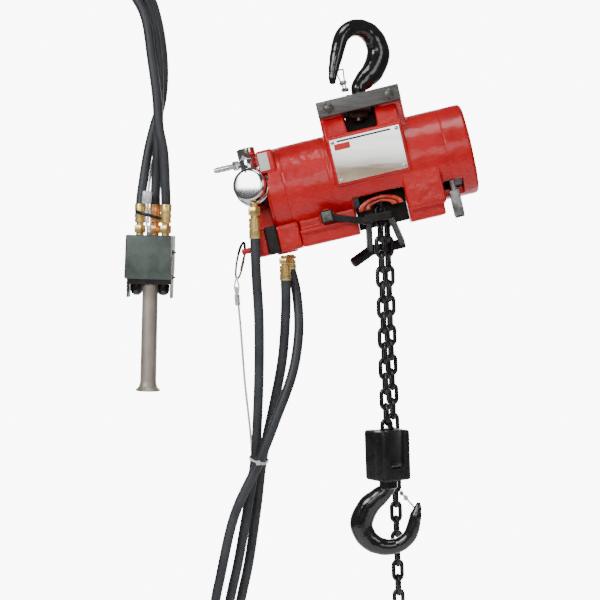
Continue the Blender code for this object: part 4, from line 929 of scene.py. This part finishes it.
def pendant_cover():
    """The pendant's folded sheet cover, open below, with a hole for each fitting, and painted highlights
    along its front edges.
    """
    x, y, sheet, height = 0.029, 0.021, 0.0014, 0.057
    outline = [(-x, 0), (x, 0), (x + 0.0012, -height), (-x - 0.0012, -height)]
    roof = block((-x, -y, -sheet), (x, y, 0), 0.0005)
    parts = [prism(outline, -y, -y + sheet, bevel=0.0004)]
    flap = [(-0.0205, 0), (0.0205, 0), (0.0205, -0.045), (0.013, -0.0555), (0.012, -0.0815),
            (-0.011, -0.0815), (-0.0125, -0.0565), (-0.0205, -0.0565)]
    for side in (-1, 1):
        low, high = sorted((side * (x + 0.0002), side * (x - sheet)))
        parts.append(prism(flap, low, high, axis=0, bevel=0.0003))
    holes = [rod((a, b, -0.01), (a, b, 0.01), 0.0062) for a, b in PENDANT_PORTS]
    holes.append(block((-0.0055, -0.014, -0.01), (0.0025, -0.0095, 0.01)))
    roof_mesh = carved(roof, holes)
    cover = merged(*parts)
    cover.from_mesh(roof_mesh)
    finish("cover_sheet", cover, SHEET, PENDANT, node="pendant_cover")
    for side in (-1, 1):
        # Satin steel strips along the cover's two front edges: painted highlights on the folds.
        edge = sweep([(side * (x + 0.0004), -y - 0.0002, -0.0008),
                      (side * (x + 0.0014), -y - 0.0002, -height + 0.001)],
                     (0.0007, 0.0007), 10)
        finish(f"cover_edge_highlight_{side}", edge, SATIN, PENDANT)


def pendant_valve():
    """The black valve block, the eye for the strain wire, and the two buttons below."""
    inner = block((-0.027, -0.0185, -0.0635), (0.027, 0.0185, -0.0019), 0.0008)
    bores = [rod((a, 0.006, -0.07), (a, 0.006, -0.05), 0.0087) for a in (-0.0185, 0.0165)]
    bores.append(rod((0.001, -0.005, -0.07), (0.001, -0.005, -0.048), 0.0108))
    finish("valve_block", carved(inner, bores, 0.0003), BLOCK_BLACK, PENDANT, node="pendant_valve")
    eye = carved(block((-0.0045, -0.0135, -0.002), (0.0015, -0.0103, 0.012), 0.001),
                 [rod((-0.0015, -0.02, 0.007), (-0.0015, 0, 0.007), 0.0018)])
    finish("valve_eye", eye, SATIN, PENDANT)
    for place, node in ((-0.0185, "button_up"), (0.0165, "button_down")):
        dome = [(0, 0), (0.0003, 0.003), (0.0012, 0.005), (0.0027, 0.0067), (0.0048, 0.0078), (0.007, 0.0083),
                (0.014, 0.0083), (0.015, 0.007), (0.0215, 0.007), (0.0215, 0)]
        made = lathe(dome, (place, 0.006, -0.0785), (0, 0, 1), 48)
        finish(node + "_look", made, BUTTON, PENDANT, body=node, node=node)
    turns = [radians(20 * index) for index in range(18)]
    ring = [Vector((-0.0185 + 0.004 * cos(turn), 0.006 + 0.004 * sin(turn), -0.0782)) for turn in turns]
    finish("button_ring", sweep(ring, (0.0005, 0.0005), 8, closed=True), SATIN, PENDANT, body="button_up")


def pendant_handle():
    """The worn pipe with its flared end, the cover's bolts and the three hose ends."""
    radius, length = 0.0105, 0.154
    profile = [(0, radius - 0.0022), (0, radius + 0.0052), (0.0008, radius + 0.0058),
               (0.0018, radius + 0.0052),
               (0.0045, radius + 0.0022), (0.009, radius + 0.0004), (0.014, radius),
               (length, radius - 0.0004), (length, radius - 0.002), (0, radius - 0.0022)]
    finish("handle_pipe", lathe(profile, (0.001, -0.005, -0.203), (0, 0, 1), 64), PIPE, PENDANT,
           node="pendant_handle")
    for index, z in enumerate((-0.0215, -0.054)):
        bolt = merged(hexagon((0.0292, -0.01, z), (0.0322, -0.01, z), 0.003, 0.0004),
                      rod((0.032, -0.01, z), (0.0345, -0.01, z), 0.0014, 16))
        finish(f"cover_bolt_{index}", bolt, BOLT, PENDANT)
    finish("cover_stay", rod((0.031, -0.01, -0.0235), (0.031, -0.01, -0.052), 0.0007, 12), SATIN, PENDANT)
    for index, (a, b) in enumerate(PENDANT_PORTS):
        hose_end(f"pendant_hose_end_{index + 1}", (a, b, -0.0016), (a, b, 0.037),
                 f"pendant_fitting_{index + 1}", COPPER if index == 1 else BRASS, PENDANT)


def strain_end():
    """The wire's loop through the pendant's eye, its crimp sleeve and the black strap round it."""
    loop = curve_points([(-0.277, -0.0128, -0.208), (-0.2795, -0.015, -0.22), (-0.279, -0.0148, -0.233),
                         (-0.2765, -0.0125, -0.242), (-0.2735, -0.0148, -0.233), (-0.2738, -0.015, -0.22),
                         (-0.2764, -0.0128, -0.208)], 0.002)
    finish("pendant_wire_loop", sweep(loop, (0.0012, 0.0012), 10), CORD_WHITE)
    sleeve = block((-0.0062, -0.003, -0.0085), (0.0062, 0.003, 0.0085), 0.002)
    place = placed((-0.2775, -0.0125, -0.199), 0, 8, 0)
    finish("pendant_crimp", sleeve, SLEEVE, place)
    strap = []
    for step in range(28):
        turn = 2 * pi * step / 28
        strap.append(Vector((-0.2778 + 0.0165 * cos(turn), -0.004 + 0.015 * sin(turn),
                             -0.2215 - 0.005 * cos(turn))))
    finish("pendant_strap", sweep(strap, (0.0007, 0.002), 8, across=(0, 0, 1), closed=True), TIE_BLACK)


def tie():
    """The thin white strap round the hoses, drawn tight, with its head and cut tail."""
    route = [(-0.1542, -0.033, 0), (-0.1476, -0.049, 0), (-0.1405, -0.0558, 0), (-0.1333, -0.0485, 0),
             (-0.1313, -0.03, 0), (-0.1315, -0.015, 0), (-0.1385, -0.0088, 0), (-0.151, -0.015, 0),
             (-0.1545, -0.021, 0), (-0.1542, -0.033, 0)]
    points = curve_points(route, 0.002)[:-1]
    points = [Vector((p.x, p.y, -0.5415 - 0.25 * (p.x + 0.143))) for p in points]
    strap = sweep(points, (0.0006, 0.0018), 8, across=(0, 0, 1), closed=True)
    head = block((-0.1435, -0.0585, -0.5445), (-0.1385, -0.055, -0.539), 0.0006)
    finish("tie_strap", merged(strap, head), NYLON, node="cable_tie")


# Carried-over CAD nodes

CARRIED = (
    (DARK, "hook_trunnion", "top_hook_nut", "hose_hanger", "chain_end_stop"),
    (SATIN, "bottom_hook_nut"),
    (CHAIN_BLACK, "wheel_chain"),
    (INSIDE, "motor_cylinder", "motor_rotor", "brake_disc", "load_wheel", "ring_gear", "sun_gear",
     "planet_gear_1",
     "planet_gear_2", "planet_gear_3", "load_wheel_bearing_left", "load_wheel_bearing_right"),
)


def carried():
    for material, *nodes in CARRIED:
        for node in nodes:
            repaint(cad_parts[node].data, material)


def main():
    camera()
    stage()
    cords()
    hose_end("supply_hose_end", (-0.1355, -0.056, -0.2125), (-0.1355, -0.056, -0.2537),
             "valve_outlet_fitting")
    hose_end("pilot_hose_end_up", (-0.1003, -0.03, -0.28), (-0.1003, -0.03, -0.3082), "pilot_fitting_up")
    hose_end("pilot_hose_end_down", (-0.0941, -0.013, -0.279), (-0.0941, -0.013, -0.2942),
             "pilot_fitting_down")
    motor_castings()
    centre_castings()
    lower_castings()
    guide()
    plate()
    lugs()
    suspension()
    top_suspension()
    inlet()
    chains()
    block_and_hook()
    lever()
    clip()
    pendant_cover()
    pendant_valve()
    pendant_handle()
    strain_end()
    tie()
    carried()


main()
